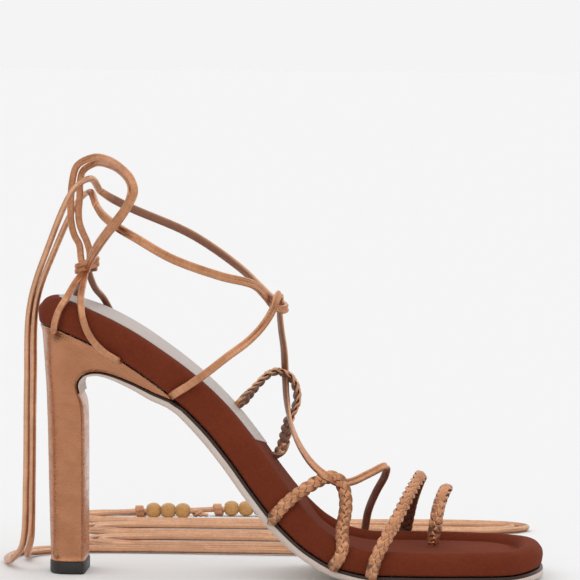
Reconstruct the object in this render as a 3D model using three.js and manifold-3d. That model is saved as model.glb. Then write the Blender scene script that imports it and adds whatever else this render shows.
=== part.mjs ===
// Strappy high-heel sandal, right foot, in millimetres.
// +X points to the toe, +Y to the inner side of the foot, +Z up.
// The origin is the middle of the heel tip's underside, on the floor.
import * as THREE from 'three';
import { mergeVertices } from 'three/addons/utils/BufferGeometryUtils.js';
import Module from 'manifold-3d';

const wasm = await Module();
wasm.setup();

// Driving sizes of the sole.
const SEAM_GAP = 0.3;
const HEEL_BACK = -13.5;
const SOLE_REACH = 213.5;
const SEAT_RISE = 100.8;
const OUTSOLE_THICKNESS = 4.2;
const TREAD_LEVEL = OUTSOLE_THICKNESS + SEAM_GAP;
const SEAT_TOP = TREAD_LEVEL + SEAT_RISE;
const BALL_WIDTH = 80;
const HALF_BALL = BALL_WIDTH / 2;
const PAD_THICKNESS = 12.6;
const RIM_WIDTH = 10;
const DISH_DEPTH = 4;
const HEEL_ROUND = 26;
const TOE_ROUND = 32;
const HEEL_SQUARENESS = 2.2;
const TOE_SQUARENESS = 2.7;
const SOCK_THICKNESS = 1;
const SOCK_INSET = 5;
const SOCK_REACH = 84;
const SOCK_SLANT = 3;

// Driving sizes of the heel.
const TIP_LENGTH = 15;
const TIP_WIDTH = 26;
const TOP_PIECE_HEIGHT = 5.2;
const WEDGE_REACH = 44.5;
const WEDGE_EDGE = 0.6;
const SEAT_INSET = 1.2;

// Driving sizes of the straps, cords and beads.
const STRAP_WIDTH = 3.5;
const STRAP_THICKNESS = 2.2;
const BRAID_WIDTH = 6;
const BRAID_THICKNESS = 3;
const BRAID_PITCH = 12;
const LACE_WIDTH = 3.8;
const LACE_THICKNESS = 2.4;
const HEEL_CORD_WIDTH = 2.9;
const HEEL_CORD_THICKNESS = 2.2;
const TIE_DIAMETER = 3;
const BEAD_DIAMETER = 7.3;
const BEAD_LENGTH = 6.6;
const WRAP_LENGTH = 5.5;
const WRAP_DIAMETER = 6;
const END_KNOT_LENGTH = 6.5;
const END_KNOT_DIAMETER = 5;

// A smooth curve through rows of (x, y) that never overshoots between two rows.
function smoothThrough(xs, ys) {
  const slopes = xs.slice(1).map((x, i) => (ys[i + 1] - ys[i]) / (x - xs[i]));
  const tangents = xs.map((x, i) => {
    if (i === 0) return slopes[0];
    if (i === xs.length - 1) return slopes[i - 1];
    const before = slopes[i - 1];
    const after = slopes[i];
    return before * after <= 0 ? 0 : (2 * before * after) / (before + after);
  });
  return (x) => {
    const last = xs.length - 2;
    const found = xs.findIndex((edge, i) => i > 0 && x < edge);
    const i = found < 0 ? last : found - 1;
    const width = xs[i + 1] - xs[i];
    const t = THREE.MathUtils.clamp((x - xs[i]) / width, 0, 1);
    const t2 = t * t;
    const t3 = t2 * t;
    return (2 * t3 - 3 * t2 + 1) * ys[i] + (t3 - 2 * t2 + t) * width * tangents[i]
      + (3 * t2 - 2 * t3) * ys[i + 1] + (t3 - t2) * width * tangents[i + 1];
  };
}

// One column of a table against its first column, as a smooth function of x in millimetres.
function column(table, name, scale) {
  const at = table.columns.indexOf(name);
  const xs = table.rows.map((row) => HEEL_BACK + row[0] * SOLE_REACH);
  return smoothThrough(xs, table.rows.map((row) => row[at] * scale));
}

// Side view of the footbed's underside: along is a share of the sole's reach, rise of the seat's.
const PROFILE = {
  columns: ['along', 'rise'],
  rows: [
    [0, 1], [0.04, 0.986], [0.091, 0.948], [0.157, 0.88], [0.222, 0.791], [0.279, 0.698],
    [0.335, 0.584], [0.386, 0.454], [0.433, 0.319], [0.485, 0.19], [0.546, 0.082], [0.607, 0.022],
    [0.672, 0], [0.93, 0], [1, 0.016],
  ],
};

// Plan and thickness: widths are shares of half the ball's width, pad of the pad's thickness,
// dish of the dish's depth, and edge of the outsole's thickness.
const PLAN = {
  columns: ['along', 'lateral', 'medial', 'pad', 'dish', 'edge'],
  rows: [
    [0, 0.665, 0.665, 0.96, 0, 0.8],
    [0.122, 0.665, 0.66, 1, 0, 0.8],
    [0.204, 0.645, 0.61, 1, 0, 0.85],
    [0.279, 0.61, 0.54, 1.02, 0, 0.9],
    [0.344, 0.585, 0.48, 1.04, 0, 1],
    [0.41, 0.605, 0.47, 1.03, 0, 1],
    [0.475, 0.7, 0.54, 0.98, 0, 1],
    [0.541, 0.81, 0.68, 0.9, 0.8, 0.95],
    [0.607, 0.92, 0.83, 0.82, 1, 0.95],
    [0.681, 0.985, 0.94, 0.79, 1, 1],
    [0.756, 1, 0.99, 0.78, 1, 1],
    [0.813, 0.98, 0.985, 0.78, 1, 1],
    [0.85, 0.95, 0.96, 0.78, 1, 1],
    [1, 0.9, 0.9, 0.78, 1, 1],
  ],
};

const underside = column({ columns: PROFILE.columns, rows: PROFILE.rows }, 'rise', SEAT_RISE);
const halfLateral = column(PLAN, 'lateral', HALF_BALL);
const halfMedial = column(PLAN, 'medial', HALF_BALL);
const padThickness = column(PLAN, 'pad', PAD_THICKNESS);
const dishDepth = column(PLAN, 'dish', DISH_DEPTH);
const edgeThickness = column(PLAN, 'edge', OUTSOLE_THICKNESS);

// Where the footbed's underside is at x, and its upward normal in the side view.
function soleAt(x) {
  const step = 0.5;
  const slope = (underside(x + step) - underside(x - step)) / (2 * step);
  const length = Math.hypot(slope, 1);
  return { x, z: TREAD_LEVEL + underside(x), nx: -slope / length, nz: 1 / length };
}

// Rounded ends of the plan: 1 between the two ends, falling to 0 at the heel's back and the toe.
function endFactor(x, inset) {
  const heelMiddle = HEEL_BACK + HEEL_ROUND;
  const toeMiddle = HEEL_BACK + SOLE_REACH - TOE_ROUND;
  const oval = (share, power) => Math.max(0, 1 - share ** power) ** (1 / power);
  if (x < heelMiddle) return oval((heelMiddle - x) / (HEEL_ROUND - inset), HEEL_SQUARENESS);
  if (x > toeMiddle) return oval((x - toeMiddle) / (TOE_ROUND - inset), TOE_SQUARENESS);
  return 1;
}

function halfWidth(x, side, inset) {
  const full = side < 0 ? halfLateral(x) : halfMedial(x);
  return side * Math.max(0, full - inset) * endFactor(x, inset);
}

// Stations from the heel's back to the toe, closer together where the ends turn.
function stations(inset, from, to) {
  const heelMiddle = HEEL_BACK + HEEL_ROUND;
  const toeMiddle = HEEL_BACK + SOLE_REACH - TOE_ROUND;
  const heelTurn = 6;
  const toeTurn = 7;
  const middle = 19;
  const list = [];
  const turn = (i, count, power) => Math.sin((i / count) * Math.PI / 2) ** (2 / power);
  for (let i = heelTurn; i > 0; i -= 1) {
    list.push(heelMiddle - (HEEL_ROUND - inset) * turn(i, heelTurn, HEEL_SQUARENESS));
  }
  for (let i = 0; i <= middle; i += 1) {
    list.push(THREE.MathUtils.lerp(heelMiddle, toeMiddle, i / middle));
  }
  for (let i = 1; i <= toeTurn; i += 1) {
    list.push(toeMiddle + (TOE_ROUND - inset) * turn(i, toeTurn, TOE_SQUARENESS));
  }
  return list.filter((x) => x > from && x < to);
}

// A closed body from loops of points that lie one above the other. Each loop runs up one side
// and back down the other, so its two ends are closed by strips across.
function stackLoops(loops) {
  const count = loops[0].length;
  const positions = loops.flat(2);
  const triangles = [];
  const quad = (a, b, c, d) => triangles.push(a, b, c, a, c, d);
  for (let k = 0; k < loops.length - 1; k += 1) {
    for (let i = 0; i < count; i += 1) {
      const j = (i + 1) % count;
      quad(k * count + i, k * count + j, (k + 1) * count + j, (k + 1) * count + i);
    }
  }
  const top = (loops.length - 1) * count;
  for (let i = 0; i < count / 2 - 1; i += 1) {
    const across = count - 1 - i;
    quad(i + 1, i, across, across - 1);
    quad(top + i, top + i + 1, top + across - 1, top + across);
  }
  return closedBody(positions, triangles);
}

// A closed body from rings along a path, each end closed by a fan from its middle.
function stackRings(rings) {
  const count = rings[0].length;
  const positions = rings.flat(2);
  const triangles = [];
  for (let k = 0; k < rings.length - 1; k += 1) {
    for (let i = 0; i < count; i += 1) {
      const j = (i + 1) % count;
      const low = k * count;
      const high = low + count;
      triangles.push(low + i, low + j, high + j, low + i, high + j, high + i);
    }
  }
  const fan = (ring, start, flip) => {
    const middle = [0, 1, 2].map((axis) => ring.reduce((sum, p) => sum + p[axis], 0) / count);
    positions.push(...middle);
    const centre = positions.length / 3 - 1;
    for (let i = 0; i < count; i += 1) {
      const j = (i + 1) % count;
      triangles.push(centre, start + (flip ? j : i), start + (flip ? i : j));
    }
  };
  fan(rings[0], 0, true);
  fan(rings.at(-1), (rings.length - 1) * count, false);
  return closedBody(positions, triangles);
}

// Merges shared points, drops triangles of no area and turns the faces outward.
function closedBody(positions, triangles) {
  const rough = new THREE.BufferGeometry();
  rough.setAttribute('position', new THREE.Float32BufferAttribute(positions, 3));
  rough.setIndex(triangles);
  const merged = mergeVertices(rough, 1e-3);
  const index = merged.index.array;
  const kept = [];
  for (let i = 0; i < index.length; i += 3) {
    const [a, b, c] = [index[i], index[i + 1], index[i + 2]];
    if (a !== b && b !== c && c !== a) kept.push(a, b, c);
  }
  merged.setIndex(signedVolume(merged.getAttribute('position'), kept) < 0 ? kept.reverse() : kept);
  merged.computeVertexNormals();
  return merged;
}

function signedVolume(points, index) {
  const [a, b, c] = [new THREE.Vector3(), new THREE.Vector3(), new THREE.Vector3()];
  let sum = 0;
  for (let i = 0; i < index.length; i += 3) {
    a.fromBufferAttribute(points, index[i]);
    b.fromBufferAttribute(points, index[i + 1]);
    c.fromBufferAttribute(points, index[i + 2]);
    sum += a.dot(b.cross(c));
  }
  return sum / 6;
}

// Joins closed bodies into one.
function joinBodies(geometries) {
  const solids = geometries.map((geometry) => {
    const bare = new THREE.BufferGeometry();
    bare.setAttribute('position', geometry.getAttribute('position'));
    bare.setIndex(geometry.index);
    const merged = mergeVertices(bare, 1e-3);
    return new wasm.Manifold(new wasm.Mesh({
      numProp: 3,
      vertProperties: new Float32Array(merged.getAttribute('position').array),
      triVerts: new Uint32Array(merged.index.array),
    }));
  });
  const joined = solids.reduce((sum, solid) => sum.add(solid)).getMesh();
  const result = new THREE.BufferGeometry();
  result.setAttribute('position', new THREE.Float32BufferAttribute(joined.vertProperties, 3));
  result.setIndex([...joined.triVerts]);
  result.computeVertexNormals();
  return result;
}

const group = new THREE.Group();

function addPiece(name, geometry, color, roughness, metalness) {
  const material = new THREE.MeshStandardMaterial({ color, roughness, metalness });
  const mesh = new THREE.Mesh(geometry, material);
  mesh.name = name;
  group.add(mesh);
  return mesh;
}

// A loop of the sole's plan, inset from its edge, at a height above the footbed's underside.
function soleLoop(xs, inset, heightAt) {
  const point = (x, side) => {
    const at = soleAt(x);
    const height = heightAt(x);
    return [at.x + at.nx * height, halfWidth(x, side, inset), at.z + at.nz * height];
  };
  return [...xs.map((x) => point(x, -1)), ...[...xs].reverse().map((x) => point(x, 1))];
}

// Footbed: insets are shares of the rim's width, heights of the pad's thickness,
// and dish says how far the ring sinks with the forefoot's dish.
const FOOTBED_EDGE = {
  columns: ['inset', 'height', 'dish'],
  rows: [
    [0.3, 0, 0], [0.08, 0.06, 0], [0, 0.3, 0], [0, 0.58, 0], [0.12, 0.82, 0], [0.36, 0.965, 0],
    [0.6, 1, 0.05], [0.85, 1, 0.45], [1.05, 1, 1], [1.35, 1, 0.75], [1.75, 1, 0.6],
  ],
};

function makeFootbed() {
  const loops = FOOTBED_EDGE.rows.map(([inset, height, dish]) => {
    const depth = inset * RIM_WIDTH;
    const heightAt = (x) => height * padThickness(x) - dish * dishDepth(x);
    return soleLoop(stations(depth, -Infinity, Infinity), depth, heightAt);
  });
  return stackLoops(loops);
}

// Heel sock: a thin pad from the heel to the waist, with a slanted front edge.
function makeSock() {
  const layers = [
    { inset: SOCK_INSET, lift: SEAM_GAP },
    { inset: SOCK_INSET - 0.3, lift: SEAM_GAP + SOCK_THICKNESS / 2 },
    { inset: SOCK_INSET, lift: SEAM_GAP + SOCK_THICKNESS },
  ];
  const front = HEEL_BACK + SOCK_REACH;
  const slantFrom = HEEL_BACK + 0.6 * SOCK_REACH;
  return stackLoops(layers.map(({ inset, lift }) => {
    const xs = [...stations(inset, -Infinity, front - SOCK_SLANT / 2), front];
    const point = (x, side) => {
      const ramp = Math.max(0, (x - slantFrom) / (front - slantFrom));
      const slanted = x + side * ramp * SOCK_SLANT / 2;
      const at = soleAt(slanted);
      const height = padThickness(slanted) - dishDepth(slanted) + lift;
      return [at.x + at.nx * height, halfWidth(slanted, side, inset), at.z + at.nz * height];
    };
    return [...xs.map((x) => point(x, -1)), ...[...xs].reverse().map((x) => point(x, 1))];
  }));
}

// Heel levels from the top piece up to the seat: where each level meets the breast in front and
// the back, ahead and behind as shares of the wedge's reach, up of the seat's height, and spread
// the share by which the level has widened from the tip's plan to the seat's.
const HEEL_LEVELS = {
  columns: ['ahead', 'frontUp', 'behind', 'backUp', 'spread'],
  rows: [
    [0.169, 0.052, 0.169, 0.052, 0],
    [0.166, 0.3, 0.187, 0.3, 0],
    [0.162, 0.57, 0.203, 0.57, 0.02],
    [0.15, 0.674, 0.212, 0.68, 0.08],
    [0.11, 0.722, 0.218, 0.75, 0.18],
    [0.096, 0.762, 0.225, 0.8, 0.3],
    [0.16, 0.801, 0.234, 0.855, 0.48],
    [0.288, 0.816, 0.243, 0.902, 0.65],
    [0.44, 0.807, 0.25, 0.935, 0.8],
    [0.64, 0.777, 0.256, 0.96, 0.9],
    [0.83, 0.741, 0.262, 0.977, 0.96],
  ],
};
const HEEL_SHARES = [0, 0.02, 0.07, 0.15, 0.27, 0.42, 0.6, 0.8, 0.93, 1];

// The tip's plan as a share of its half width, round at the back and with eased front corners.
function tipPlan(share) {
  const back = Math.max(0, 1 - (1 - Math.min(1, share / 0.5)) ** 2.4) ** (1 / 2.4);
  const front = share > 0.93 ? 1 - 0.2 * (share - 0.93) / 0.07 : 1;
  return back * front;
}

function heelLevel(row) {
  const [ahead, frontUp, behind, backUp, spread] = row;
  const front = { x: ahead * WEDGE_REACH, z: frontUp * SEAT_TOP };
  const back = { x: -behind * WEDGE_REACH, z: backUp * SEAT_TOP };
  return { front, back, spread };
}

function seatLevel() {
  const backX = HEEL_BACK + SEAT_INSET;
  const on = (x) => soleAt(x).z - SEAM_GAP / soleAt(x).nz;
  return { front: { x: WEDGE_REACH, z: on(WEDGE_REACH) }, back: { x: backX, z: on(backX) }, spread: 1, on };
}

function heelHalf(level, share, side) {
  const seat = seatLevel();
  const seatX = THREE.MathUtils.lerp(seat.back.x, seat.front.x, share);
  const tip = side * TIP_WIDTH / 2 * tipPlan(share);
  return THREE.MathUtils.lerp(tip, halfWidth(seatX, side, SEAT_INSET), level.spread);
}

// The lower side of the wedge's thin front edge, where the outsole leaves the footbed.
function wedgeEdge() {
  const seat = seatLevel();
  return { x: seat.front.x - 0.4, z: seat.front.z - WEDGE_EDGE };
}

function heelLoop(level, edge) {
  const seat = seatLevel();
  const height = (share) => {
    const seatX = THREE.MathUtils.lerp(seat.back.x, seat.front.x, share);
    const chord = THREE.MathUtils.lerp(seat.back.z, seat.front.z, share);
    const crown = (seat.on(seatX) - chord) * level.spread;
    return THREE.MathUtils.lerp(level.back.z, level.front.z, share) + crown;
  };
  const point = (share, side) => [
    THREE.MathUtils.lerp(level.back.x, level.front.x, share),
    heelHalf(level, share, side),
    share === 1 && edge ? edge.z : height(share),
  ];
  const back = [...HEEL_SHARES].reverse();
  return [...HEEL_SHARES.map((s) => point(s, -1)), ...back.map((s) => point(s, 1))];
}

function makeHeel() {
  const loops = HEEL_LEVELS.rows.map((row) => heelLoop(heelLevel(row)));
  const edgeLevel = { front: wedgeEdge(), back: { ...seatLevel().back }, spread: 1 };
  edgeLevel.back.z -= WEDGE_EDGE;
  loops.push(heelLoop(edgeLevel), heelLoop(seatLevel()));
  return stackLoops(loops);
}

function makeTopPiece() {
  const level = heelLevel(HEEL_LEVELS.rows[0]);
  const grow = 0.3;
  const loop = (z, size) => {
    const point = (share, side) => [
      THREE.MathUtils.lerp(level.back.x, level.front.x, share) * size,
      heelHalf(level, share, side) * size,
      z,
    ];
    const back = [...HEEL_SHARES].reverse();
    return [...HEEL_SHARES.map((s) => point(s, -1)), ...back.map((s) => point(s, 1))];
  };
  const wide = 1 + grow / (TIP_LENGTH / 2);
  return stackLoops([loop(0, 1), loop(0.6, wide), loop(TOP_PIECE_HEIGHT, wide)]);
}

// Outsole edge: insets in shares of the rim's width, drop in shares of the edge's thickness.
// The upper step is the inked edge line, the rest the pale rounded bottom.
const OUTSOLE_EDGE = {
  columns: ['inset', 'drop'],
  rows: [[0.35, 0], [0.08, 0], [0.08, 0.34], [0.01, 0.38], [0.03, 0.68], [0.22, 1], [0.6, 1]],
};
const FLAP_THICKNESS = 1.6;

// The outsole follows the footbed to the wedge, then the wedge's underside and the breast.
function outsoleStations(inset) {
  const front = stations(inset, WEDGE_REACH + 5, Infinity).map((x) => {
    const at = soleAt(x);
    return { ...at, lateral: halfWidth(x, -1, inset), medial: halfWidth(x, 1, inset), edge: edgeThickness(x) };
  });
  const first = 4;
  const levels = HEEL_LEVELS.rows.slice(first).map(heelLevel);
  levels.push({ front: wedgeEdge(), back: seatLevel().back, spread: 1 });
  const rear = levels.map((level, i) => {
    const before = levels[Math.max(0, i - 1)].front;
    const after = i < levels.length - 1 ? levels[i + 1].front : { x: front[0].x, z: front[0].z };
    const dx = after.x - before.x;
    const dz = after.z - before.z;
    const length = Math.hypot(dx, dz);
    const share = i / (levels.length - 1);
    return {
      x: level.front.x,
      z: level.front.z,
      nx: -dz / length,
      nz: dx / length,
      lateral: Math.min(0, heelHalf(level, 1, -1) + inset * (0.3 + 0.7 * share)),
      medial: Math.max(0, heelHalf(level, 1, 1) - inset * (0.3 + 0.7 * share)),
      edge: THREE.MathUtils.lerp(FLAP_THICKNESS, edgeThickness(WEDGE_REACH), share ** 2),
    };
  });
  return [...rear, ...front];
}

function makeOutsole() {
  const loops = OUTSOLE_EDGE.rows.map(([inset, drop]) => {
    const list = outsoleStations(inset * RIM_WIDTH);
    const point = (at, y) => {
      const down = SEAM_GAP + drop * at.edge;
      return [at.x - at.nx * down, y, at.z - at.nz * down];
    };
    return [
      ...list.map((at) => point(at, at.lateral)),
      ...[...list].reverse().map((at) => point(at, at.medial)),
    ];
  });
  return stackLoops(loops);
}

// Route rows are percentages: along the sole's reach, across half the ball's width,
// and up the seat's height.
function routePoint([along, across, up]) {
  const hundred = 100;
  return new THREE.Vector3(
    HEEL_BACK + (along / hundred) * SOLE_REACH,
    (across / hundred) * HALF_BALL,
    (up / hundred) * SEAT_TOP,
  );
}

// The two points of a strap's foot on the footbed's outer wall: at its lower edge and shoulder.
function wallFoot(lowAlong, highAlong, side, thickness) {
  const stand = thickness / 2 + SEAM_GAP + 0.15;
  return [[lowAlong, 0.16], [highAlong, 0.72]].map(([along, height]) => {
    const at = soleAt(HEEL_BACK + (along / 100) * SOLE_REACH);
    const up = height * padThickness(at.x);
    return new THREE.Vector3(at.x + at.nx * up, halfWidth(at.x, side, 0) + side * stand, at.z + at.nz * up);
  });
}

// The two points of a strap's foot that stands on the footbed's top, or on what lies over it.
function topFoot(along, across, over) {
  const at = soleAt(HEEL_BACK + (along / 100) * SOLE_REACH);
  const standing = padThickness(at.x) + over + SEAM_GAP + 0.25;
  return [standing, standing + 3].map((up) => new THREE.Vector3(
    at.x + at.nx * up,
    (across / 100) * HALF_BALL,
    at.z + at.nz * up,
  ));
}

// The line inside the foot that straps lie around, from over the heel to the toes.
const FOOT_AXIS = { heel: [11, 0, 115.9], toe: [76.6, 0, 13.3] };

function awayFromFoot(p) {
  const heel = routePoint(FOOT_AXIS.heel);
  const axis = routePoint(FOOT_AXIS.toe).sub(heel).normalize();
  const out = new THREE.Vector3().subVectors(p, heel);
  return out.addScaledVector(axis, -out.dot(axis));
}

// A smooth curve through a route's points. Where its steps are shared out by points and not by
// length, a bend gets more of them, because its points are closer together.
class StepsByPoint extends THREE.CatmullRomCurve3 {
  getUtoTmapping(u) {
    return u;
  }
}

function smoothRoute(points, byPoint) {
  const Route = byPoint ? StepsByPoint : THREE.CatmullRomCurve3;
  return new Route(points, false, 'centripetal');
}

// Carries a section along a route, with its flat face turned the way that facing says.
// Without a step, the rings are shared out by the route's points.
function sweep(points, facing, sectionAt, step) {
  const curve = smoothRoute(points, !step);
  const length = curve.getLength();
  const count = step ? Math.max(4, Math.round(length / step)) : 2 * (points.length - 1);
  const rings = [];
  for (let i = 0; i <= count; i += 1) {
    const at = curve.getPointAt(i / count);
    const along = curve.getTangentAt(i / count);
    const out = facing(at).clone();
    out.addScaledVector(along, -out.dot(along)).normalize();
    const side = new THREE.Vector3().crossVectors(along, out);
    rings.push(sectionAt((i / count) * length).map(([u, v]) => [
      at.x + side.x * u + out.x * v,
      at.y + side.y * u + out.y * v,
      at.z + side.z * u + out.z * v,
    ]));
  }
  return stackRings(rings);
}

// A flat strap's section: eight points of a rounded oblong.
function strapSection(width, thickness) {
  const corner = 0.55;
  const [w, t] = [width / 2, thickness / 2];
  const ring = [[w, t * corner], [w * corner, t], [-w * corner, t], [-w, t * corner]];
  const section = [...ring, ...ring.map(([u, v]) => [-u, -v])];
  return () => section;
}

// A flat plait of three strips as one wall: the section's edge reaches to whichever strip
// lies furthest out, so the strips stand raised on both faces.
function plaitSection(distance) {
  const sides = 10;
  const swing = BRAID_WIDTH * 0.27;
  const stripHalf = BRAID_WIDTH / 2 - swing;
  const lift = BRAID_THICKNESS * 0.2;
  const stripThick = BRAID_THICKNESS / 2 - lift;
  const strips = [0, 1, 2].map((k) => {
    const phase = 2 * Math.PI * (distance / BRAID_PITCH + k / 3);
    return { u: swing * Math.sin(phase), v: lift * Math.sin(2 * phase) };
  });
  const reach = (cos, sin, { u, v }) => {
    const a = (cos / stripHalf) ** 2 + (sin / stripThick) ** 2;
    const b = (u * cos) / stripHalf ** 2 + (v * sin) / stripThick ** 2;
    const c = (u / stripHalf) ** 2 + (v / stripThick) ** 2 - 1;
    const inside = b * b - a * c;
    return inside < 0 ? 0 : (b + Math.sqrt(inside)) / a;
  };
  return Array.from({ length: sides }, (_, i) => {
    const angle = (2 * Math.PI * i) / sides;
    const cos = Math.cos(angle);
    const sin = Math.sin(angle);
    const r = Math.max(0.8, ...strips.map((strip) => reach(cos, sin, strip)));
    return [r * cos, r * sin];
  });
}

const BRAID_STEP = 2;
const STRAP_STEP = 5;
const CORD_STEP = 5.5;
const sideways = (side) => () => new THREE.Vector3(0, side, 0.25);

// Lateral loop: up from the waist's outer wall, over, and down to the ball's outer wall.
const LATERAL_LOOP = [
  [52.9, -67.5, 36.2], [55.9, -60, 39.9], [58.2, -55, 41.4], [59.8, -53.8, 40.5],
  [61, -55, 36.3], [61.4, -65, 30], [60.8, -82.5, 21.7],
];
// Medial loop: one foot stands on the heel sock and one on the footbed before it.
const MEDIAL_LOOP = [
  [43.1, 37.5, 74.7], [45.1, 45, 78.5], [47, 50, 79.7],
  [49.4, 52.5, 77.6], [50.8, 52.5, 72.7], [50.9, 50, 66.8], [49.6, 42.5, 60.9],
];
// Instep strap: from the outer wall up to the ankle, down past the medial loop, through the
// lateral loop and over the toes to the inner wall.
const INSTEP_STRAP = [
  [33.9, -67.5, 82], [38.1, -65, 88.7], [41.9, -55, 94.4], [44.6, -40, 100], [46.4, -32, 105.7],
  [47.6, -22, 110.6], [48.4, -10, 112.4], [48.6, -2.5, 109.8], [48.3, 2.5, 104.9],
  [48.2, 17.5, 97.2], [48.3, 37.5, 88.6], [48.4, 55.8, 79.5], [48.7, 50, 70], [49.4, 36.2, 62.3],
  [50.8, 10, 55.3], [52.9, -22.5, 49.4], [55.3, -50, 45], [57.5, -62.5, 42.1],
  [59.8, -50, 38.9], [62.4, -37.5, 38.9], [65.9, -20, 41.6], [68.9, 0, 43.7],
  [68.7, 20, 39.2], [66.8, 50, 30.9], [65.1, 80, 21.3],
];
const TOE_STRAP = [
  [70.1, -90, 22.3], [72.3, -67.5, 30.8], [74.3, -37.5, 37.8], [76.4, 0, 42.3],
  [76.4, 37.5, 37.4], [75.2, 75, 26.8],
];
const TOE_LOOP = [
  [78.3, 5, 12.6], [78.7, 5, 20], [79.2, 12.5, 25.7], [80, 30, 31], [80.8, 50, 33.3],
  [80.2, 72.5, 29.9], [79.2, 90, 22.9],
];

// The ankle lace's bight hooks through the instep strap and runs back along both sides of the
// ankle to the heel loop.
const LACE_CROSSING = [
  [12.1, -36.2, 147], [13.6, -48.8, 143.6], [16.9, -61.3, 138.9], [20.2, -70, 135.4],
  [27.5, -77.5, 127.4], [36.7, -67.5, 120.6], [42.8, -47.5, 117], [44.9, -27.5, 112.4],
  [47, -14.5, 107.7], [48.9, -10.8, 106.2], [50, 0, 106.6], [48.9, 11.5, 107.9],
  [46.6, 16.5, 109.7], [43.3, 33.8, 114.5], [39, 55, 121.6], [29.1, 75, 134.3],
  [17.3, 72.5, 144.5], [13.3, 58.5, 148.9], [11.5, 42.5, 151.8],
];
// The heel loop: four legs from the footbed's outer walls to a knot, and a doubled loop above.
const HEEL_CORDS = {
  lateralRear: [
    [4.2, -62.5, 97.3], [4.4, -63.5, 101.1], [5.2, -61.3, 105.8], [6.6, -52.5, 111.1],
    [7.7, -32.5, 115.9], [8.9, -15, 120.1], [9.7, -10, 123.5],
  ],
  lateralFront: [
    [17, -69.5, 85.5], [14.2, -71.5, 90], [11.7, -72.2, 95.9], [10.1, -69.5, 103],
    [9.4, -53.8, 110.5], [9.3, -30, 115.4], [9.5, -12.5, 120.6], [9.8, -10, 124.4],
  ],
  medialFront: [
    [15.5, 70, 91.2], [13.8, 70, 99.7], [12.1, 56.2, 107.7], [10.7, 30, 113], [10, 5, 119.2],
    [9.8, -7.5, 124.4],
  ],
  medialRear: [
    [5.4, 65.5, 97.8], [5.8, 65.5, 103.5], [6.6, 53.8, 111.1], [7.8, 30, 114.9], [8.9, 5, 119.2],
    [9.7, -7.5, 124.4],
  ],
  loopNear: [
    [9.2, -10, 122], [8.6, -7.5, 125.1], [8.2, -7.5, 131.1], [7.2, -7.5, 135], [6.6, -7.5, 139.8],
    [6.4, -5, 144.6], [6.4, -2.5, 150], [6.6, 0, 156.2], [7.5, -1.5, 162.4], [11, -15, 166.2],
    [14.3, -35, 165.6], [17.6, -62.5, 162.2], [19.7, -82.5, 158.2], [20.4, -92.5, 153.5],
    [19.5, -93.8, 148.9], [17.8, -88.8, 143.4], [15.5, -79.5, 137.9], [12.6, -50, 130.5],
    [10.4, -22.5, 123.9], [9.8, -15, 121.1],
  ],
  loopFar: [
    [10.2, -10, 122.5], [10.3, -7.5, 127.8], [9.7, -7.5, 132.4], [8.8, -7.5, 136.4],
    [8.2, -7.5, 140], [8, -5, 144.7], [8.1, 0, 150], [8.1, 2.5, 155.7], [8.6, 7.5, 160.5],
    [11, 3.8, 163.5], [14.8, -22.5, 162.8], [17.6, -48.8, 159.9], [19.2, -71.2, 156.3],
    [19.5, -83.5, 153.1], [18.9, -85, 149.1], [17.2, -80, 144], [15, -71, 138.7],
    [12.2, -42.5, 131.4], [10.4, -17.5, 124.9], [9.8, -10, 121.1],
  ],
};
// The knot's sizes are in cord widths.
const HEEL_KNOT = { middle: [9.8, -10, 122.2], length: 4, depth: 2.75, height: 2.35 };

function makeUpper() {
  const lateral = sweep([
    ...wallFoot(46.6, 48.4, -1, BRAID_THICKNESS),
    ...LATERAL_LOOP.map(routePoint),
    ...wallFoot(59.2, 59.8, -1, BRAID_THICKNESS).reverse(),
  ], sideways(-1), plaitSection, BRAID_STEP);
  const medial = sweep([
    ...topFoot(34.4, 18, SOCK_THICKNESS + SEAM_GAP),
    ...MEDIAL_LOOP.map(routePoint),
    ...topFoot(41.7, 18, 0).reverse(),
  ], sideways(1), plaitSection, BRAID_STEP);
  const instep = sweep([
    ...wallFoot(27, 29, -1, STRAP_THICKNESS),
    ...INSTEP_STRAP.map(routePoint),
    ...wallFoot(63, 63.6, 1, STRAP_THICKNESS).reverse(),
  ], awayFromFoot, strapSection(STRAP_WIDTH, STRAP_THICKNESS), STRAP_STEP);
  return joinBodies([instep, lateral, medial]);
}

function makeToeStrap() {
  return sweep([
    ...wallFoot(66.6, 67.4, -1, BRAID_THICKNESS),
    ...TOE_STRAP.map(routePoint),
    ...wallFoot(73, 73.6, 1, BRAID_THICKNESS).reverse(),
  ], awayFromFoot, plaitSection, BRAID_STEP);
}

function makeToeLoop() {
  const overToe = (p) => new THREE.Vector3(0, p.y - 0.5 * HALF_BALL, p.z - 0.14 * SEAT_TOP);
  return sweep([
    ...TOE_LOOP.map(routePoint),
    ...wallFoot(78.4, 78.6, 1, BRAID_THICKNESS).reverse(),
  ], overToe, plaitSection, BRAID_STEP);
}

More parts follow.
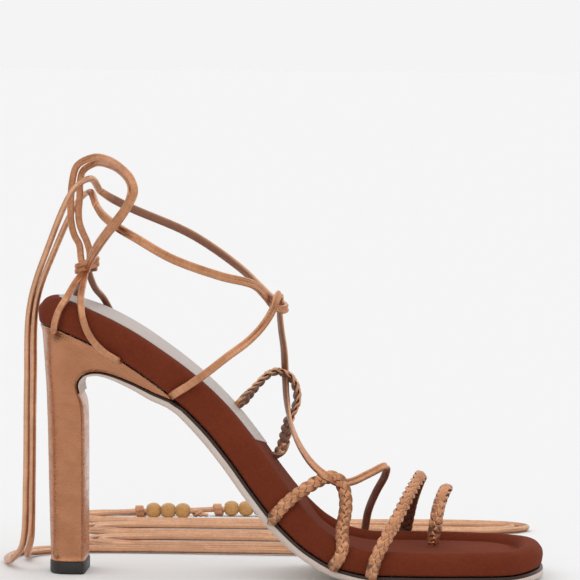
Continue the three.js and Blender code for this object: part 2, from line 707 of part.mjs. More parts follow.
// The two free ends of the ankle lace, in millimetres: through the heel loop, down behind the
// heel and over the floor behind the shoe.
const TIE_LATERAL = [
  [12, -13.8, 155.3], [8, 0, 160.2], [1.5, 11, 155], [-8, 13, 135], [-15.6, 13, 113],
  [-16.8, 13, 80], [-17.2, 13.5, 40], [-18, 16, 12], [-20.5, 25, 3.6], [-20, 40, 2],
  [-6, 52.5, 1.6], [85, 56, 1.6], [180, 53, 1.6], [193.8, 66.8, 1.6], [180, 80.5, 1.6],
  [94, 77.5, 1.6], [12, 80.5, 1.6], [4.8, 87.8, 1.6], [12, 95, 1.6], [95, 98, 1.6],
  [174, 95, 1.6], [187.8, 108.8, 1.6], [174, 122.5, 1.6], [94, 119.5, 1.6], [6, 122.5, 1.6],
  [-1.2, 129.8, 1.6], [6, 137, 1.6], [95, 140, 1.6], [182, 137, 1.6], [195.8, 150.8, 1.6],
  [182, 164.5, 1.6], [88, 161.5, 1.6], [-6, 164.5, 1.6], [-13.2, 171.8, 1.6], [-6, 179, 1.6],
  [2, 180, 2.4], [12, 180, 3.1],
];
const TIE_MEDIAL = [
  [10.7, 16.3, 160.2], [8, 0, 165.8], [1.8, -11, 161], [-8, -12, 138], [-15.6, -12, 113.5],
  [-16.8, -12, 80], [-17.2, -11, 40], [-19, -6, 12], [-25, 5, 3.6], [-29, 26, 2],
  [-22, 50, 1.6], [-4, 59, 1.6], [85, 62.5, 1.6], [180, 59.5, 1.6], [187.2, 66.8, 1.6],
  [180, 74, 1.6], [94, 71, 1.6], [12, 74, 1.6], [-1.8, 87.8, 1.6], [12, 101.5, 1.6],
  [95, 104.5, 1.6], [174, 101.5, 1.6], [181.2, 108.8, 1.6], [174, 116, 1.6], [94, 113, 1.6],
  [6, 116, 1.6], [-7.8, 129.8, 1.6], [6, 143.5, 1.6], [95, 146.5, 1.6], [182, 143.5, 1.6],
  [189.2, 150.8, 1.6], [182, 158, 1.6], [88, 155, 1.6], [-6, 158, 1.6], [-19.8, 171.8, 1.6],
  [-6, 185.5, 1.6], [18, 189, 1.6], [36, 190.4, 2.4], [48, 191, 3.1],
];

function makeTieCrossing() {
  const anklePole = routePoint([29.7, 0, 95]);
  const aroundAnkle = (p) => new THREE.Vector3(p.x - anklePole.x, p.y, (p.z - anklePole.z) / 4);
  return sweep(LACE_CROSSING.map(routePoint), aroundAnkle, strapSection(LACE_WIDTH, LACE_THICKNESS));
}

function makeHeelLoop() {
  const section = strapSection(HEEL_CORD_WIDTH, HEEL_CORD_THICKNESS);
  const cord = (rows, side) => sweep(rows.map(routePoint), sideways(side), section, CORD_STEP);
  const knot = new THREE.SphereGeometry(0.5, 12, 8);
  const { length, depth, height } = HEEL_KNOT;
  const inWidths = [length, depth, height].map((size) => size * HEEL_CORD_WIDTH);
  knot.scale(...inWidths);
  knot.translate(...routePoint(HEEL_KNOT.middle).toArray());
  knot.deleteAttribute('normal');
  knot.deleteAttribute('uv');
  return joinBodies([
    knot,
    cord(HEEL_CORDS.lateralRear, -1),
    cord(HEEL_CORDS.lateralFront, -1),
    cord(HEEL_CORDS.medialFront, 1),
    cord(HEEL_CORDS.medialRear, 1),
    cord(HEEL_CORDS.loopNear, -1),
    cord(HEEL_CORDS.loopFar, -1),
  ]);
}

function tieRoute(points) {
  return smoothRoute(points.map((p) => new THREE.Vector3(...p)), true);
}

function makeTie(points) {
  const sides = 8;
  const round = new THREE.Shape();
  round.absarc(0, 0, TIE_DIAMETER / 2, 0, 2 * Math.PI);
  const tube = new THREE.ExtrudeGeometry(round, {
    steps: 2 * (points.length - 1),
    curveSegments: sides / 2,
    extrudePath: tieRoute(points),
  });
  const positions = [...tube.getAttribute('position').array];
  return closedBody(positions, positions.slice(0, positions.length / 3).map((_, i) => i));
}

// What is threaded on a tie's end: a wrapped strip, three beads and the end knot, in a row that
// carries on from the cord's last point.
function addTieEnd(side, points) {
  const route = tieRoute(points);
  const end = route.getPoint(1);
  const heading = route.getTangent(1).setZ(0).normalize();
  const row = [{ name: 'wrap_knot', length: WRAP_LENGTH, diameter: WRAP_DIAMETER, full: 0.8 }];
  for (const number of [1, 2, 3]) {
    row.push({ name: `bead_${number}`, length: BEAD_LENGTH, diameter: BEAD_DIAMETER, full: 0.45 });
  }
  row.push({ name: 'end_knot', length: END_KNOT_LENGTH, diameter: END_KNOT_DIAMETER, full: 0.5 });
  let reach = SEAM_GAP;
  for (const { name, length, diameter, full } of row) {
    const mesh = addPiece(`${name}_${side}`, barrel(length, diameter, full), ...THREADED[name.split('_')[0]]);
    mesh.position.copy(end).addScaledVector(heading, reach + length / 2).setZ(diameter / 2 + 0.05);
    mesh.rotation.z = Math.atan2(heading.y, heading.x);
    reach += length + SEAM_GAP;
  }
}
const THREADED = {
  wrap: [0xb9855a, 0.45, 0.4],
  bead: [0xc98a45, 0.6, 0],
  end: [0xb9855a, 0.45, 0.4],
};

// A bead-like barrel along X: full is the share of its radius that its flat ends keep.
function barrel(length, diameter, full) {
  const bands = 4;
  const profile = [new THREE.Vector2(0, -length / 2)];
  for (let i = 0; i <= bands; i += 1) {
    const along = (2 * i) / bands - 1;
    const radius = (diameter / 2) * (full + (1 - full) * Math.sqrt(1 - along * along));
    profile.push(new THREE.Vector2(radius, (along * length) / 2));
  }
  profile.push(new THREE.Vector2(0, length / 2));
  const lathe = new THREE.LatheGeometry(profile, 9);
  lathe.rotateZ(-Math.PI / 2);
  return closedBody([...lathe.getAttribute('position').array], [...lathe.index.array]);
}

addPiece('outsole', makeOutsole(), 0xd6c4b8, 0.6, 0);
addPiece('footbed', makeFootbed(), 0x6b3223, 0.9, 0);
addPiece('heel_sock', makeSock(), 0xc3b3ab, 0.7, 0);
addPiece('heel', makeHeel(), 0xb9855a, 0.35, 0.6);
addPiece('top_piece', makeTopPiece(), 0x2b2524, 0.7, 0);
addPiece('upper', makeUpper(), 0xb9855a, 0.35, 0.6);
addPiece('toe_strap', makeToeStrap(), 0xb9855a, 0.35, 0.6);
addPiece('toe_loop', makeToeLoop(), 0xb9855a, 0.35, 0.6);
addPiece('tie_crossing', makeTieCrossing(), 0xb9855a, 0.35, 0.6);
addPiece('heel_loop', makeHeelLoop(), 0xb9855a, 0.35, 0.6);
addPiece('tie_lateral', makeTie(TIE_LATERAL), 0xb9855a, 0.35, 0.6);
addPiece('tie_medial', makeTie(TIE_MEDIAL), 0xb9855a, 0.35, 0.6);
addTieEnd('lateral', TIE_LATERAL);
addTieEnd('medial', TIE_MEDIAL);

export default group;
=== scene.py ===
# %% [markdown]
# A strappy high-heel sandal for the right foot. A padded footbed wrapped in brown suede lies on a
# thin leather outsole and a slim block heel. Bronze foil leather makes the braided toe straps,
# the long instep strap, the heel cords and the ankle lace with its beads.
# Every piece here is a surface worked out with numpy, because a shoe is all curves: each shape
# is a short formula over a grid, and the same few functions serve straps, cords and sole alike.

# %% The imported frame
import math

import bpy
import bmesh
import numpy as np
from mathutils import Matrix


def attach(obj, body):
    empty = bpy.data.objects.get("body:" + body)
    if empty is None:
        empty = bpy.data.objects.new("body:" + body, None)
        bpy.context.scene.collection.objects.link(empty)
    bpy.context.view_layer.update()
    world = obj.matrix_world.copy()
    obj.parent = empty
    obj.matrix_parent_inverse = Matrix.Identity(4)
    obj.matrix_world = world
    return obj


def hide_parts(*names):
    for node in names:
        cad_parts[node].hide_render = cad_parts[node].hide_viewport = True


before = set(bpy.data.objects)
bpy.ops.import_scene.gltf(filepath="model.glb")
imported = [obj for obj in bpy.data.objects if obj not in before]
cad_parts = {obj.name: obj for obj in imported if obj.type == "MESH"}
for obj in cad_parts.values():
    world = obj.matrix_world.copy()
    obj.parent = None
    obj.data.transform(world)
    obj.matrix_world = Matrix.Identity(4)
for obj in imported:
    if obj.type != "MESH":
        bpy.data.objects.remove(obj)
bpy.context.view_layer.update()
MM = 0.001
print("nodes:", sorted(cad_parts))

# %% [markdown]
# Straps and cords follow routes: a few given points, with a smooth curve through them. A
# centripetal curve is used because it never loops where points lie close.

# %% Routes


def smooth_route(points, per_span=16):
    """A cubic through the points. Each span runs from p1 to p2 with the slopes
    m1 = (p1-p0)/d0 - (p2-p0)/(d0+d1) + (p2-p1)/d1 and the like, where d is the root of a span's
    length."""
    p = np.asarray(points, float)
    p = np.vstack([2 * p[0] - p[1], p, 2 * p[-1] - p[-2]])
    d = np.sqrt(np.linalg.norm(np.diff(p, axis=0), axis=1))[:, None]
    p0, p1, p2, p3 = p[:-3], p[1:-2], p[2:-1], p[3:]
    d0, d1, d2 = d[:-2], d[1:-1], d[2:]
    m1 = ((p1 - p0) / d0 - (p2 - p0) / (d0 + d1) + (p2 - p1) / d1) * d1
    m2 = ((p2 - p1) / d1 - (p3 - p1) / (d1 + d2) + (p3 - p2) / d2) * d1
    t = np.linspace(0, 1, per_span, endpoint=False)[None, :, None]
    a, b, c, e = (x[:, None, :] for x in (p1, p2, m1, m2))
    span = (
        (2 * t**3 - 3 * t**2 + 1) * a
        + (t**3 - 2 * t**2 + t) * c
        + (3 * t**2 - 2 * t**3) * b
        + (t**3 - t**2) * e
    )
    return np.vstack([span.reshape(-1, p.shape[1]), p[-2]])


def distances(route):
    """How far along the route each of its points lies."""
    return np.concatenate([[0], np.cumsum(np.linalg.norm(np.diff(route, axis=0), axis=1))])


def even_route(points, step):
    """The smooth route, with a point about every step."""
    fine = smooth_route(points, 40)
    along = distances(fine)
    count = max(8, int(round(along[-1] / step)))
    at = np.linspace(0, along[-1], count + 1)
    return np.stack([np.interp(at, along, fine[:, k]) for k in range(fine.shape[1])], axis=1)


def smooth_through(xs, ys, x):
    """A curve through rows (x, y) that never overshoots: cubic spans whose slopes are the
    harmonic mean of the two spans beside a row, and 0 where those differ in sign."""
    xs, ys, x = (np.asarray(v, float) for v in (xs, ys, x))
    slope = np.diff(ys) / np.diff(xs)
    inner = np.where(
        slope[:-1] * slope[1:] > 0,
        2 * slope[:-1] * slope[1:] / np.where(slope[:-1] + slope[1:] == 0, 1, slope[:-1] + slope[1:]),
        0,
    )
    m = np.concatenate([[slope[0]], inner, [slope[-1]]])
    i = np.clip(np.searchsorted(xs, x, side="right") - 1, 0, len(xs) - 2)
    w = xs[i + 1] - xs[i]
    t = np.clip((x - xs[i]) / w, 0, 1)
    return (
        (2 * t**3 - 3 * t**2 + 1) * ys[i]
        + (t**3 - 2 * t**2 + t) * w * m[i]
        + (3 * t**2 - 2 * t**3) * ys[i + 1]
        + (t**3 - t**2) * w * m[i + 1]
    )


def unit(v):
    """Each vector divided by its own length."""
    return v / np.maximum(np.linalg.norm(v, axis=-1, keepdims=True), 1e-12)


hump = even_route([[0, 0, 0], [10, 5, 0], [20, 0, 0]], 1.0)
print("a route over a 5 mm hump:", len(hump), "points,", round(distances(hump)[-1], 1), "mm")

# %% [markdown]
# A piece is one or more grids of points. Each grid becomes quads, with a UV map that runs along
# and around it in millimetres, so that a crease or a weave can follow the strap. Named numbers
# on the points, such as how near an edge they are, tell the material where leather is worn and
# where highlight and shade are painted.

# %% Grids to meshes


def grid(points, wrap_along=False, wrap_around=True, **marks):
    """Quads between the rows and columns of points, an array of rows x columns x 3."""
    rows, columns = points.shape[:2]
    row_ends = np.arange(rows if wrap_along else rows - 1)
    column_ends = np.arange(columns if wrap_around else columns - 1)
    i, j = (v.ravel() for v in np.meshgrid(row_ends, column_ends, indexing="ij"))
    i2, j2 = (i + 1) % rows, (j + 1) % columns
    quads = np.stack([i * columns + j, i * columns + j2, i2 * columns + j2, i2 * columns + j], axis=1)
    along = distances(points.mean(axis=1))
    around = distances(points[rows // 2])
    around = np.append(around, around[-1] + np.linalg.norm(points[rows // 2, 0] - points[rows // 2, -1]))
    along = np.append(along, along[-1] + 1)
    uv = np.stack(
        [
            np.stack([along[i], around[j]], axis=1),
            np.stack([along[i], around[j + 1]], axis=1),
            np.stack([along[i + 1], around[j + 1]], axis=1),
            np.stack([along[i + 1], around[j]], axis=1),
        ],
        axis=1,
    )
    co = points.reshape(-1, 3)
    a, b, c, d = (co[quads[:, k]] for k in range(4))
    volume = (np.cross(b - a, c - a) * a).sum() + (np.cross(c - a, d - a) * a).sum()
    if volume < 0:
        quads, uv = quads[:, ::-1], uv[:, ::-1]
    full = {
        name: np.broadcast_to(np.asarray(value, float), (rows, columns)).ravel()
        for name, value in marks.items()
    }
    return {"co": co, "quads": quads, "uv": uv, "marks": full, "part": np.zeros(len(quads), int)}


def together(*shapes):
    """Several grids as one."""
    start = np.cumsum([0] + [len(s["co"]) for s in shapes])
    names = sorted({n for s in shapes for n in s["marks"]})
    return {
        "co": np.vstack([s["co"] for s in shapes]),
        "quads": np.vstack([s["quads"] + n for s, n in zip(shapes, start)]),
        "uv": np.vstack([s["uv"] for s in shapes]),
        "part": np.concatenate([s["part"] for s in shapes]),
        "marks": {
            n: np.concatenate([s["marks"].get(n, np.zeros(len(s["co"]))) for s in shapes])
            for n in names
        },
    }


MERGE_M = 2e-6
SLIVER_M = 1e-7


def piece(name, shape, materials, nodes):
    """A mesh object in metres that stands for CAD nodes, with doubled points merged."""
    mesh = bpy.data.meshes.new(name)
    mesh.from_pydata((shape["co"] * MM).tolist(), [], shape["quads"].tolist())
    layer = mesh.uv_layers.new(name="UVMap")
    layer.data.foreach_set("uv", shape["uv"].reshape(-1, 2).astype(np.float32).ravel())
    for mark, values in shape["marks"].items():
        mesh.attributes.new(mark, "FLOAT", "POINT").data.foreach_set("value", values.astype(np.float32))
    for material in materials:
        mesh.materials.append(material)
    mesh.polygons.foreach_set("material_index", shape["part"].astype(np.int32))
    shell = bmesh.new()
    shell.from_mesh(mesh)
    bmesh.ops.remove_doubles(shell, verts=shell.verts, dist=MERGE_M)
    bmesh.ops.dissolve_degenerate(shell, dist=SLIVER_M, edges=shell.edges)
    shell.to_mesh(mesh)
    shell.free()
    mesh.shade_smooth()
    mesh.update()
    made = bpy.data.objects.new(name, mesh)
    bpy.context.scene.collection.objects.link(made)
    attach(made, "root")
    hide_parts(*nodes)
    print(f"{name}: {len(mesh.polygons)} faces")
    return made


print("a tube of 3 rows by 4 points:", len(grid(np.zeros((3, 4, 3)))["quads"]), "quads")

# %% [markdown]
# A strap or cord is a section carried along its route. The section's flat face turns towards
# "facing", so a strap lies on the foot and doesn't twist. The ends are rounded over, so that no
# cut end shows a hard rim.

# %% Sweeping


def frame_along(route, facing):
    """Along, outward and sideways directions at each point: outward is facing less its part
    along the route, and sideways is their cross product."""
    along = unit(np.gradient(route, axis=0))
    facing = np.broadcast_to(np.asarray(facing, float), route.shape)
    outward = unit(facing - (facing * along).sum(axis=1, keepdims=True) * along)
    return along, outward, np.cross(along, outward)


CAP_ANGLES = [90, 65, 35]


def sweep(route, facing, section, round_end=0.5, **marks):
    """point = route + sideways * u + outward * v, for each (u, v) of the section. At each end the
    section shrinks as the cosine of the cap's angles while it moves out as their sine."""
    along, outward, sideways = frame_along(route, facing)
    section = np.broadcast_to(section, (len(route), *np.shape(section)[-2:]))
    turn = np.radians(CAP_ANGLES)
    caps = len(turn)
    lift = round_end * np.sin(turn)
    head = route[0] - along[0] * lift[:, None]
    tail = (route[-1] + along[-1] * lift[:, None])[::-1]
    size = np.cos(turn)
    scale = np.concatenate([size, np.ones(len(route)), size[::-1]])[:, None, None]

    def extend(values):
        return np.concatenate([np.repeat(values[:1], caps, 0), values, np.repeat(values[-1:], caps, 0)])

    middle = np.vstack([head, route, tail])
    uv = extend(section) * scale
    points = (
        middle[:, None]
        + extend(sideways)[:, None] * uv[..., :1]
        + extend(outward)[:, None] * uv[..., 1:]
    )
    wide = {}
    for name, value in marks.items():
        value = np.asarray(value, float)
        if value.ndim == 1 and len(value) == len(route):
            value = value[:, None]
        wide[name] = extend(np.broadcast_to(value, (len(route), section.shape[1])))
    return grid(points, **wide)


GROOVE_SHARE = 0.16


def oblong(width, thickness, count=20, squareness=3.0, groove=0.0):
    """A rounded oblong, u = w/2 cos^(2/n), v = t/2 sin^(2/n), with a groove down the outer face
    as deep as groove * exp(-(u / (share * w))^2)."""
    angle = np.linspace(0, 2 * np.pi, count, endpoint=False) + np.pi / count
    cos, sin = np.cos(angle), np.sin(angle)
    u = width / 2 * np.sign(cos) * np.abs(cos) ** (2 / squareness)
    v = thickness / 2 * np.sign(sin) * np.abs(sin) ** (2 / squareness)
    v = v - groove * np.exp(-((u / (GROOVE_SHARE * width)) ** 2)) * (v > 0)
    return np.stack([u, v], axis=1)


def strap_marks(section):
    """edge rises from 0 to 1 over the last quarter towards the strap's two edges, and inner is
    the root of how far back a point lies."""
    u, v = section[:, 0], section[:, 1]
    edge = np.clip((np.abs(u) / np.abs(u).max() - 0.75) / 0.25, 0, 1)
    inner = np.clip(-v / np.abs(v).max(), 0, 1) ** 0.5
    return {"edge": edge, "inner": inner}


print("a section 3 mm by 2 mm:", len(oblong(3.0, 2.0)), "points")

# %% [markdown]
# Real leather, suede and wood are never one colour. The effects that several finishes share are
# node groups: a tone that drifts over the surface, a fine grain, and creases that run across a
# strap. Each material places them with its own sizes. The patterns read Object coordinates or
# the UV map, so they stay on the piece when the camera moves.

# %% Helpers for nodes


def new_group(name, inputs, outputs):
    """A node group with named inputs and outputs, and its two end nodes."""
    group = bpy.data.node_groups.new(name, "ShaderNodeTree")
    for label, kind, value in inputs:
        socket = group.interface.new_socket(label, in_out="INPUT", socket_type=kind)
        socket.default_value = value
    for label, kind in outputs:
        group.interface.new_socket(label, in_out="OUTPUT", socket_type=kind)
    return group, group.nodes.new("NodeGroupInput"), group.nodes.new("NodeGroupOutput")


def add(tree, kind, settings=None, **inputs):
    """A node with its settings and inputs: a value is set, a socket is linked."""
    made = tree.nodes.new(kind)
    for key, value in (settings or {}).items():
        setattr(made, key, value)
    for key, value in inputs.items():
        socket = made.inputs[int(key[1:]) if key[0] == "_" else key.replace("_", " ")]
        if isinstance(value, bpy.types.NodeSocket):
            tree.links.new(value, socket)
        else:
            socket.default_value = value
    return made


def maths(tree, operation, a, b=0.0, clamp=False):
    """One sum of two numbers, each a value or a socket."""
    made = add(tree, "ShaderNodeMath", {"operation": operation, "use_clamp": clamp}, _0=a, _1=b)
    return made.outputs[0]


def blend_colour(tree, factor, a, b):
    """a * (1 - factor) + b * factor."""
    made = add(tree, "ShaderNodeMix", {"data_type": "RGBA"}, _0=factor, _6=a, _7=b)
    return made.outputs[2]


FLOAT, COLOUR, VECTOR = "NodeSocketFloat", "NodeSocketColor", "NodeSocketVector"
print("sockets:", FLOAT, COLOUR, VECTOR)

# %% [markdown]
# Leather and wood drift between two tones. A soft noise, cut to its middle range, is the share
# of the second tone, so that there are patches and not one dull average.

# %% Drifting tone
drift, into, out = new_group(
    "drifting tone",
    [("Vector", VECTOR, (0, 0, 0)), ("Tone", COLOUR, (1, 1, 1, 1)), ("Other", COLOUR, (0, 0, 0, 1)),
     ("Scale", FLOAT, 60.0), ("Amount", FLOAT, 0.5)],
    [("Color", COLOUR), ("Mask", FLOAT)],
)
cloud = add(drift, "ShaderNodeTexNoise", Vector=into.outputs["Vector"], Scale=into.outputs["Scale"],
            Detail=5.0, Roughness=0.6)
mask = add(drift, "ShaderNodeMapRange", Value=cloud.outputs["Fac"], From_Min=0.35, From_Max=0.65)
share = maths(drift, "MULTIPLY", mask.outputs[0], into.outputs["Amount"])
drift.links.new(blend_colour(drift, share, into.outputs["Tone"], into.outputs["Other"]), out.inputs["Color"])
drift.links.new(mask.outputs[0], out.inputs["Mask"])
print("effect:", drift.name)

# %% [markdown]
# Leather has fine pores. The grain's height is a speckle less the distance to the nearest cell
# middle of a Voronoi pattern, so each cell is a small dome.

# %% Leather grain
grain, into, out = new_group(
    "leather grain",
    [("Vector", VECTOR, (0, 0, 0)), ("Scale", FLOAT, 900.0), ("Fine", FLOAT, 0.4)],
    [("Height", FLOAT)],
)
cells = add(grain, "ShaderNodeTexVoronoi", {"feature": "F1"}, Vector=into.outputs["Vector"],
            Scale=into.outputs["Scale"])
speck = add(grain, "ShaderNodeTexNoise", Vector=into.outputs["Vector"],
            Scale=maths(grain, "MULTIPLY", into.outputs["Scale"], 2.3), Detail=3.0)
fine = maths(grain, "MULTIPLY", speck.outputs["Fac"], into.outputs["Fine"])
grain.links.new(maths(grain, "SUBTRACT", fine, cells.outputs["Distance"]), out.inputs["Height"])
print("effect:", grain.name)

# %% [markdown]
# A strap that is bent shows thin creases across it. They are the lines where a stretched noise
# passes through one half: line = 1 - |noise - 0.5| / sharpness, and never less than 0.

# %% Cross creases
creases, into, out = new_group(
    "cross creases",
    [("UV", VECTOR, (0, 0, 0)), ("Spacing", FLOAT, 2.0), ("Sharpness", FLOAT, 0.06)],
    [("Height", FLOAT), ("Line", FLOAT)],
)
stretch = add(creases, "ShaderNodeMapping", Vector=into.outputs["UV"], Scale=(1.0, 0.22, 1.0))
ripple = add(creases, "ShaderNodeTexNoise", Vector=stretch.outputs[0],
             Scale=maths(creases, "DIVIDE", 1.0, into.outputs["Spacing"]), Detail=3.0, Roughness=0.55)
middle = maths(creases, "ABSOLUTE", maths(creases, "SUBTRACT", ripple.outputs["Fac"], 0.5))
line = add(creases, "ShaderNodeMapRange", Value=middle, From_Min=0.0,
           From_Max=into.outputs["Sharpness"], To_Min=1.0, To_Max=0.0)
creases.links.new(ripple.outputs["Fac"], out.inputs["Height"])
creases.links.new(line.outputs[0], out.inputs["Line"])
print("effect:", creases.name)

# %% [markdown]
# Each finish is one Principled shader. Foil leather is a thin metal film on hide: mostly
# metallic, broken by fine creases that show the brown hide, and pale along its edges, partly from
# rubbed wear and partly as a painted highlight. A plait's strips also get painted shade where they
# dip under a neighbour. The helpers below set up any finish, and the last one is the foil itself.

# %% Foil leather


def finish_of(name, **fixed):
    """An empty material and its shader, with plain numbers set on the shader's own sockets."""
    material = bpy.data.materials.new(name)
    material.use_nodes = True
    tree = material.node_tree
    shader = tree.nodes["Principled BSDF"]
    for key, value in fixed.items():
        shader.inputs[key.replace("_", " ")].default_value = value
    place = tree.nodes.new("ShaderNodeTexCoord")
    return material, tree, shader, place


def use(tree, group, **inputs):
    """A shared effect placed in a material, as its outputs."""
    return add(tree, "ShaderNodeGroup", {"node_tree": group}, **inputs).outputs


def bump(tree, shader, height, strength, distance):
    """Tilts the shader's normal by a height."""
    made = add(tree, "ShaderNodeBump", Height=height, Strength=strength, Distance=distance)
    tree.links.new(made.outputs[0], shader.inputs["Normal"])


def foil(name, tone, shade, pale, hide, metal, rough, crease_spacing, crease_depth, edged=True):
    """Bronze foil leather: a drifting tone, hide-brown creases and back, pale edges that are partly
    rubbed wear and partly painted highlight, and painted shade where a plait strip dips under.
    """
    material, tree, shader, place = finish_of(name, Specular_IOR_Level=0.5)
    colour = use(tree, drift, Vector=place.outputs["Object"], Tone=tone, Other=shade,
                 Scale=110.0, Amount=0.65)
    fold = use(tree, creases, UV=place.outputs["UV"], Spacing=crease_spacing, Sharpness=0.05)
    skin = use(tree, grain, Vector=place.outputs["Object"], Scale=1500.0, Fine=0.5)
    worn = maths(tree, "MULTIPLY", fold["Line"], crease_depth)
    body = blend_colour(tree, worn, colour["Color"], hide)
    metallic = maths(tree, "SUBTRACT", metal, maths(tree, "MULTIPLY", worn, 0.6), clamp=True)
    if edged:
        edge = add(tree, "ShaderNodeAttribute", {"attribute_name": "edge"}).outputs["Fac"]
        inner = add(tree, "ShaderNodeAttribute", {"attribute_name": "inner"}).outputs["Fac"]
        under_shade = add(tree, "ShaderNodeAttribute", {"attribute_name": "tone"}).outputs["Fac"]
        # The pale edges are partly rubbed wear and partly a painted highlight.
        rub_and_highlight = maths(tree, "MULTIPLY", edge, 0.45)
        body = blend_colour(tree, rub_and_highlight, body, pale)
        # Painted shade darkens a plait strip where it dips under its neighbour.
        body = blend_colour(tree, maths(tree, "MULTIPLY", under_shade, 0.35), body, shade)
        back = maths(tree, "MULTIPLY", inner, 0.85)
        body = blend_colour(tree, back, body, hide)
        metallic = maths(tree, "MULTIPLY", metallic, maths(tree, "SUBTRACT", 1.0, back, clamp=True))
    tree.links.new(body, shader.inputs["Base Color"])
    tree.links.new(metallic, shader.inputs["Metallic"])
    roughness = maths(tree, "ADD", rough, maths(tree, "MULTIPLY", fold["Line"], 0.15))
    tree.links.new(roughness, shader.inputs["Roughness"])
    height = maths(tree, "ADD", maths(tree, "MULTIPLY", fold["Height"], 1.2), skin["Height"])
    bump(tree, shader, height, 0.35, 0.00025)
    return material


print("effects per finish:", [g.name for g in (drift, creases, grain)])

# %% [markdown]
# The same foil covers straps, cords, plaits and the heel. The heel's is pulled tight over a block,
# so its creases are wide apart and faint, and it has no pale edges of rubbed wear and painted highlight.

# %% Bronze finishes
BRONZE = (0.64, 0.31, 0.165, 1)
BRONZE_SHADE = (0.36, 0.15, 0.07, 1)
BRONZE_PALE = (0.85, 0.56, 0.37, 1)
HIDE = (0.21, 0.085, 0.052, 1)
# The plaits' back is the brown hide, darkened further by painted shade.
PLAIT_BACK_SHADED = (0.11, 0.04, 0.022, 1)

bronze_strap = foil("bronze strap", BRONZE, BRONZE_SHADE, BRONZE_PALE, HIDE, 0.92, 0.3, 2.4, 0.2)
bronze_cord = foil("bronze cord", BRONZE, BRONZE_SHADE, BRONZE_PALE, HIDE, 0.92, 0.3, 3.0, 0.2)
bronze_plait = foil("bronze plait", BRONZE, BRONZE_SHADE, BRONZE_PALE, PLAIT_BACK_SHADED, 0.92, 0.27, 2.0, 0.2)
bronze_heel = foil("bronze heel cover", (0.5, 0.225, 0.12, 1), (0.4, 0.165, 0.08, 1), BRONZE_PALE,
                   HIDE, 0.95, 0.2, 9.0, 0.04, edged=False)
print("bronze finishes:", [m.name for m in (bronze_strap, bronze_cord, bronze_plait, bronze_heel)])

# %% [markdown]
# Suede is the fleshy side of the hide. It hardly mirrors at all. Broad patches come from the nap
# lying one way or the other, and a fine second drift stands for its single fibres.

# %% Brown suede


def suede():
    """Two drifts, one inside the other, over a rough surface with a low, fine bump."""
    material, tree, shader, place = finish_of("brown suede", Roughness=0.95, Specular_IOR_Level=0.1,
                                              Sheen_Weight=0.05, Sheen_Roughness=0.5)
    shader.inputs["Sheen Tint"].default_value = (0.8, 0.36, 0.22, 1)
    patch = use(tree, drift, Vector=place.outputs["Object"], Tone=(0.165, 0.031, 0.013, 1),
                Other=(0.11, 0.019, 0.008, 1), Scale=38.0, Amount=0.6)
    fibre = use(tree, drift, Vector=place.outputs["Object"], Tone=patch["Color"],
                Other=(0.23, 0.05, 0.02, 1), Scale=900.0, Amount=0.3)
    tree.links.new(fibre["Color"], shader.inputs["Base Color"])
    nap = use(tree, grain, Vector=place.outputs["Object"], Scale=2200.0, Fine=1.2)
    bump(tree, shader, nap["Height"], 0.3, 0.0002)
    return material


suede_wrap = suede()
print("finish:", suede_wrap.name)

# %% [markdown]
# The sole, its inked edge, the sock and the tip are plain smooth surfaces with a drift and a grain.
# The beads are turned wood, whose bands run along the bead.

# %% Smooth leather, rubber and wood


def smooth_leather(name, tone, other, rough):
    """A drifting tone and a faint grain."""
    material, tree, shader, place = finish_of(name, Roughness=rough, Specular_IOR_Level=0.4)
    colour = use(tree, drift, Vector=place.outputs["Object"], Tone=tone, Other=other, Scale=70.0,
                 Amount=0.5)
    tree.links.new(colour["Color"], shader.inputs["Base Color"])
    skin = use(tree, grain, Vector=place.outputs["Object"], Scale=1100.0, Fine=0.4)
    bump(tree, shader, skin["Height"], 0.12, 0.0002)
    return material


def wood():
    """Turned wood: bands of tone that run along the bead, under a thin coat of varnish."""
    material, tree, shader, place = finish_of("golden bead wood", Roughness=0.42, Coat_Weight=0.25,
                                              Coat_Roughness=0.2)
    ring = add(tree, "ShaderNodeMapping", Vector=place.outputs["UV"], Scale=(0.35, 1.6, 1.0))
    band = use(tree, drift, Vector=ring.outputs[0], Tone=(0.62, 0.315, 0.085, 1),
               Other=(0.40, 0.165, 0.035, 1), Scale=1.0, Amount=0.8)
    fleck = use(tree, drift, Vector=place.outputs["Object"], Tone=band["Color"],
                Other=(0.72, 0.42, 0.15, 1), Scale=700.0, Amount=0.35)
    tree.links.new(fleck["Color"], shader.inputs["Base Color"])
    bump(tree, shader, band["Mask"], 0.2, 0.0001)
    return material


outsole_pale = smooth_leather("pale outsole leather", (0.66, 0.555, 0.49, 1), (0.58, 0.47, 0.40, 1), 0.5)
edge_ink = smooth_leather("inked sole edge", (0.035, 0.014, 0.009, 1), (0.06, 0.026, 0.016, 1), 0.45)
sock_leather = smooth_leather("pale sock leather", (0.55, 0.475, 0.44, 1), (0.48, 0.41, 0.375, 1), 0.55)
tip_rubber = smooth_leather("black tip rubber", (0.022, 0.019, 0.018, 1), (0.035, 0.03, 0.028, 1), 0.5)
bead_wood = wood()
print("finishes:", len(bpy.data.materials))

# %% [markdown]
# The sole's shape is a side view and a plan, as a shoemaker's last has. Both are short tables of
# shares of the shoe's own sizes, with smooth curves between their rows.

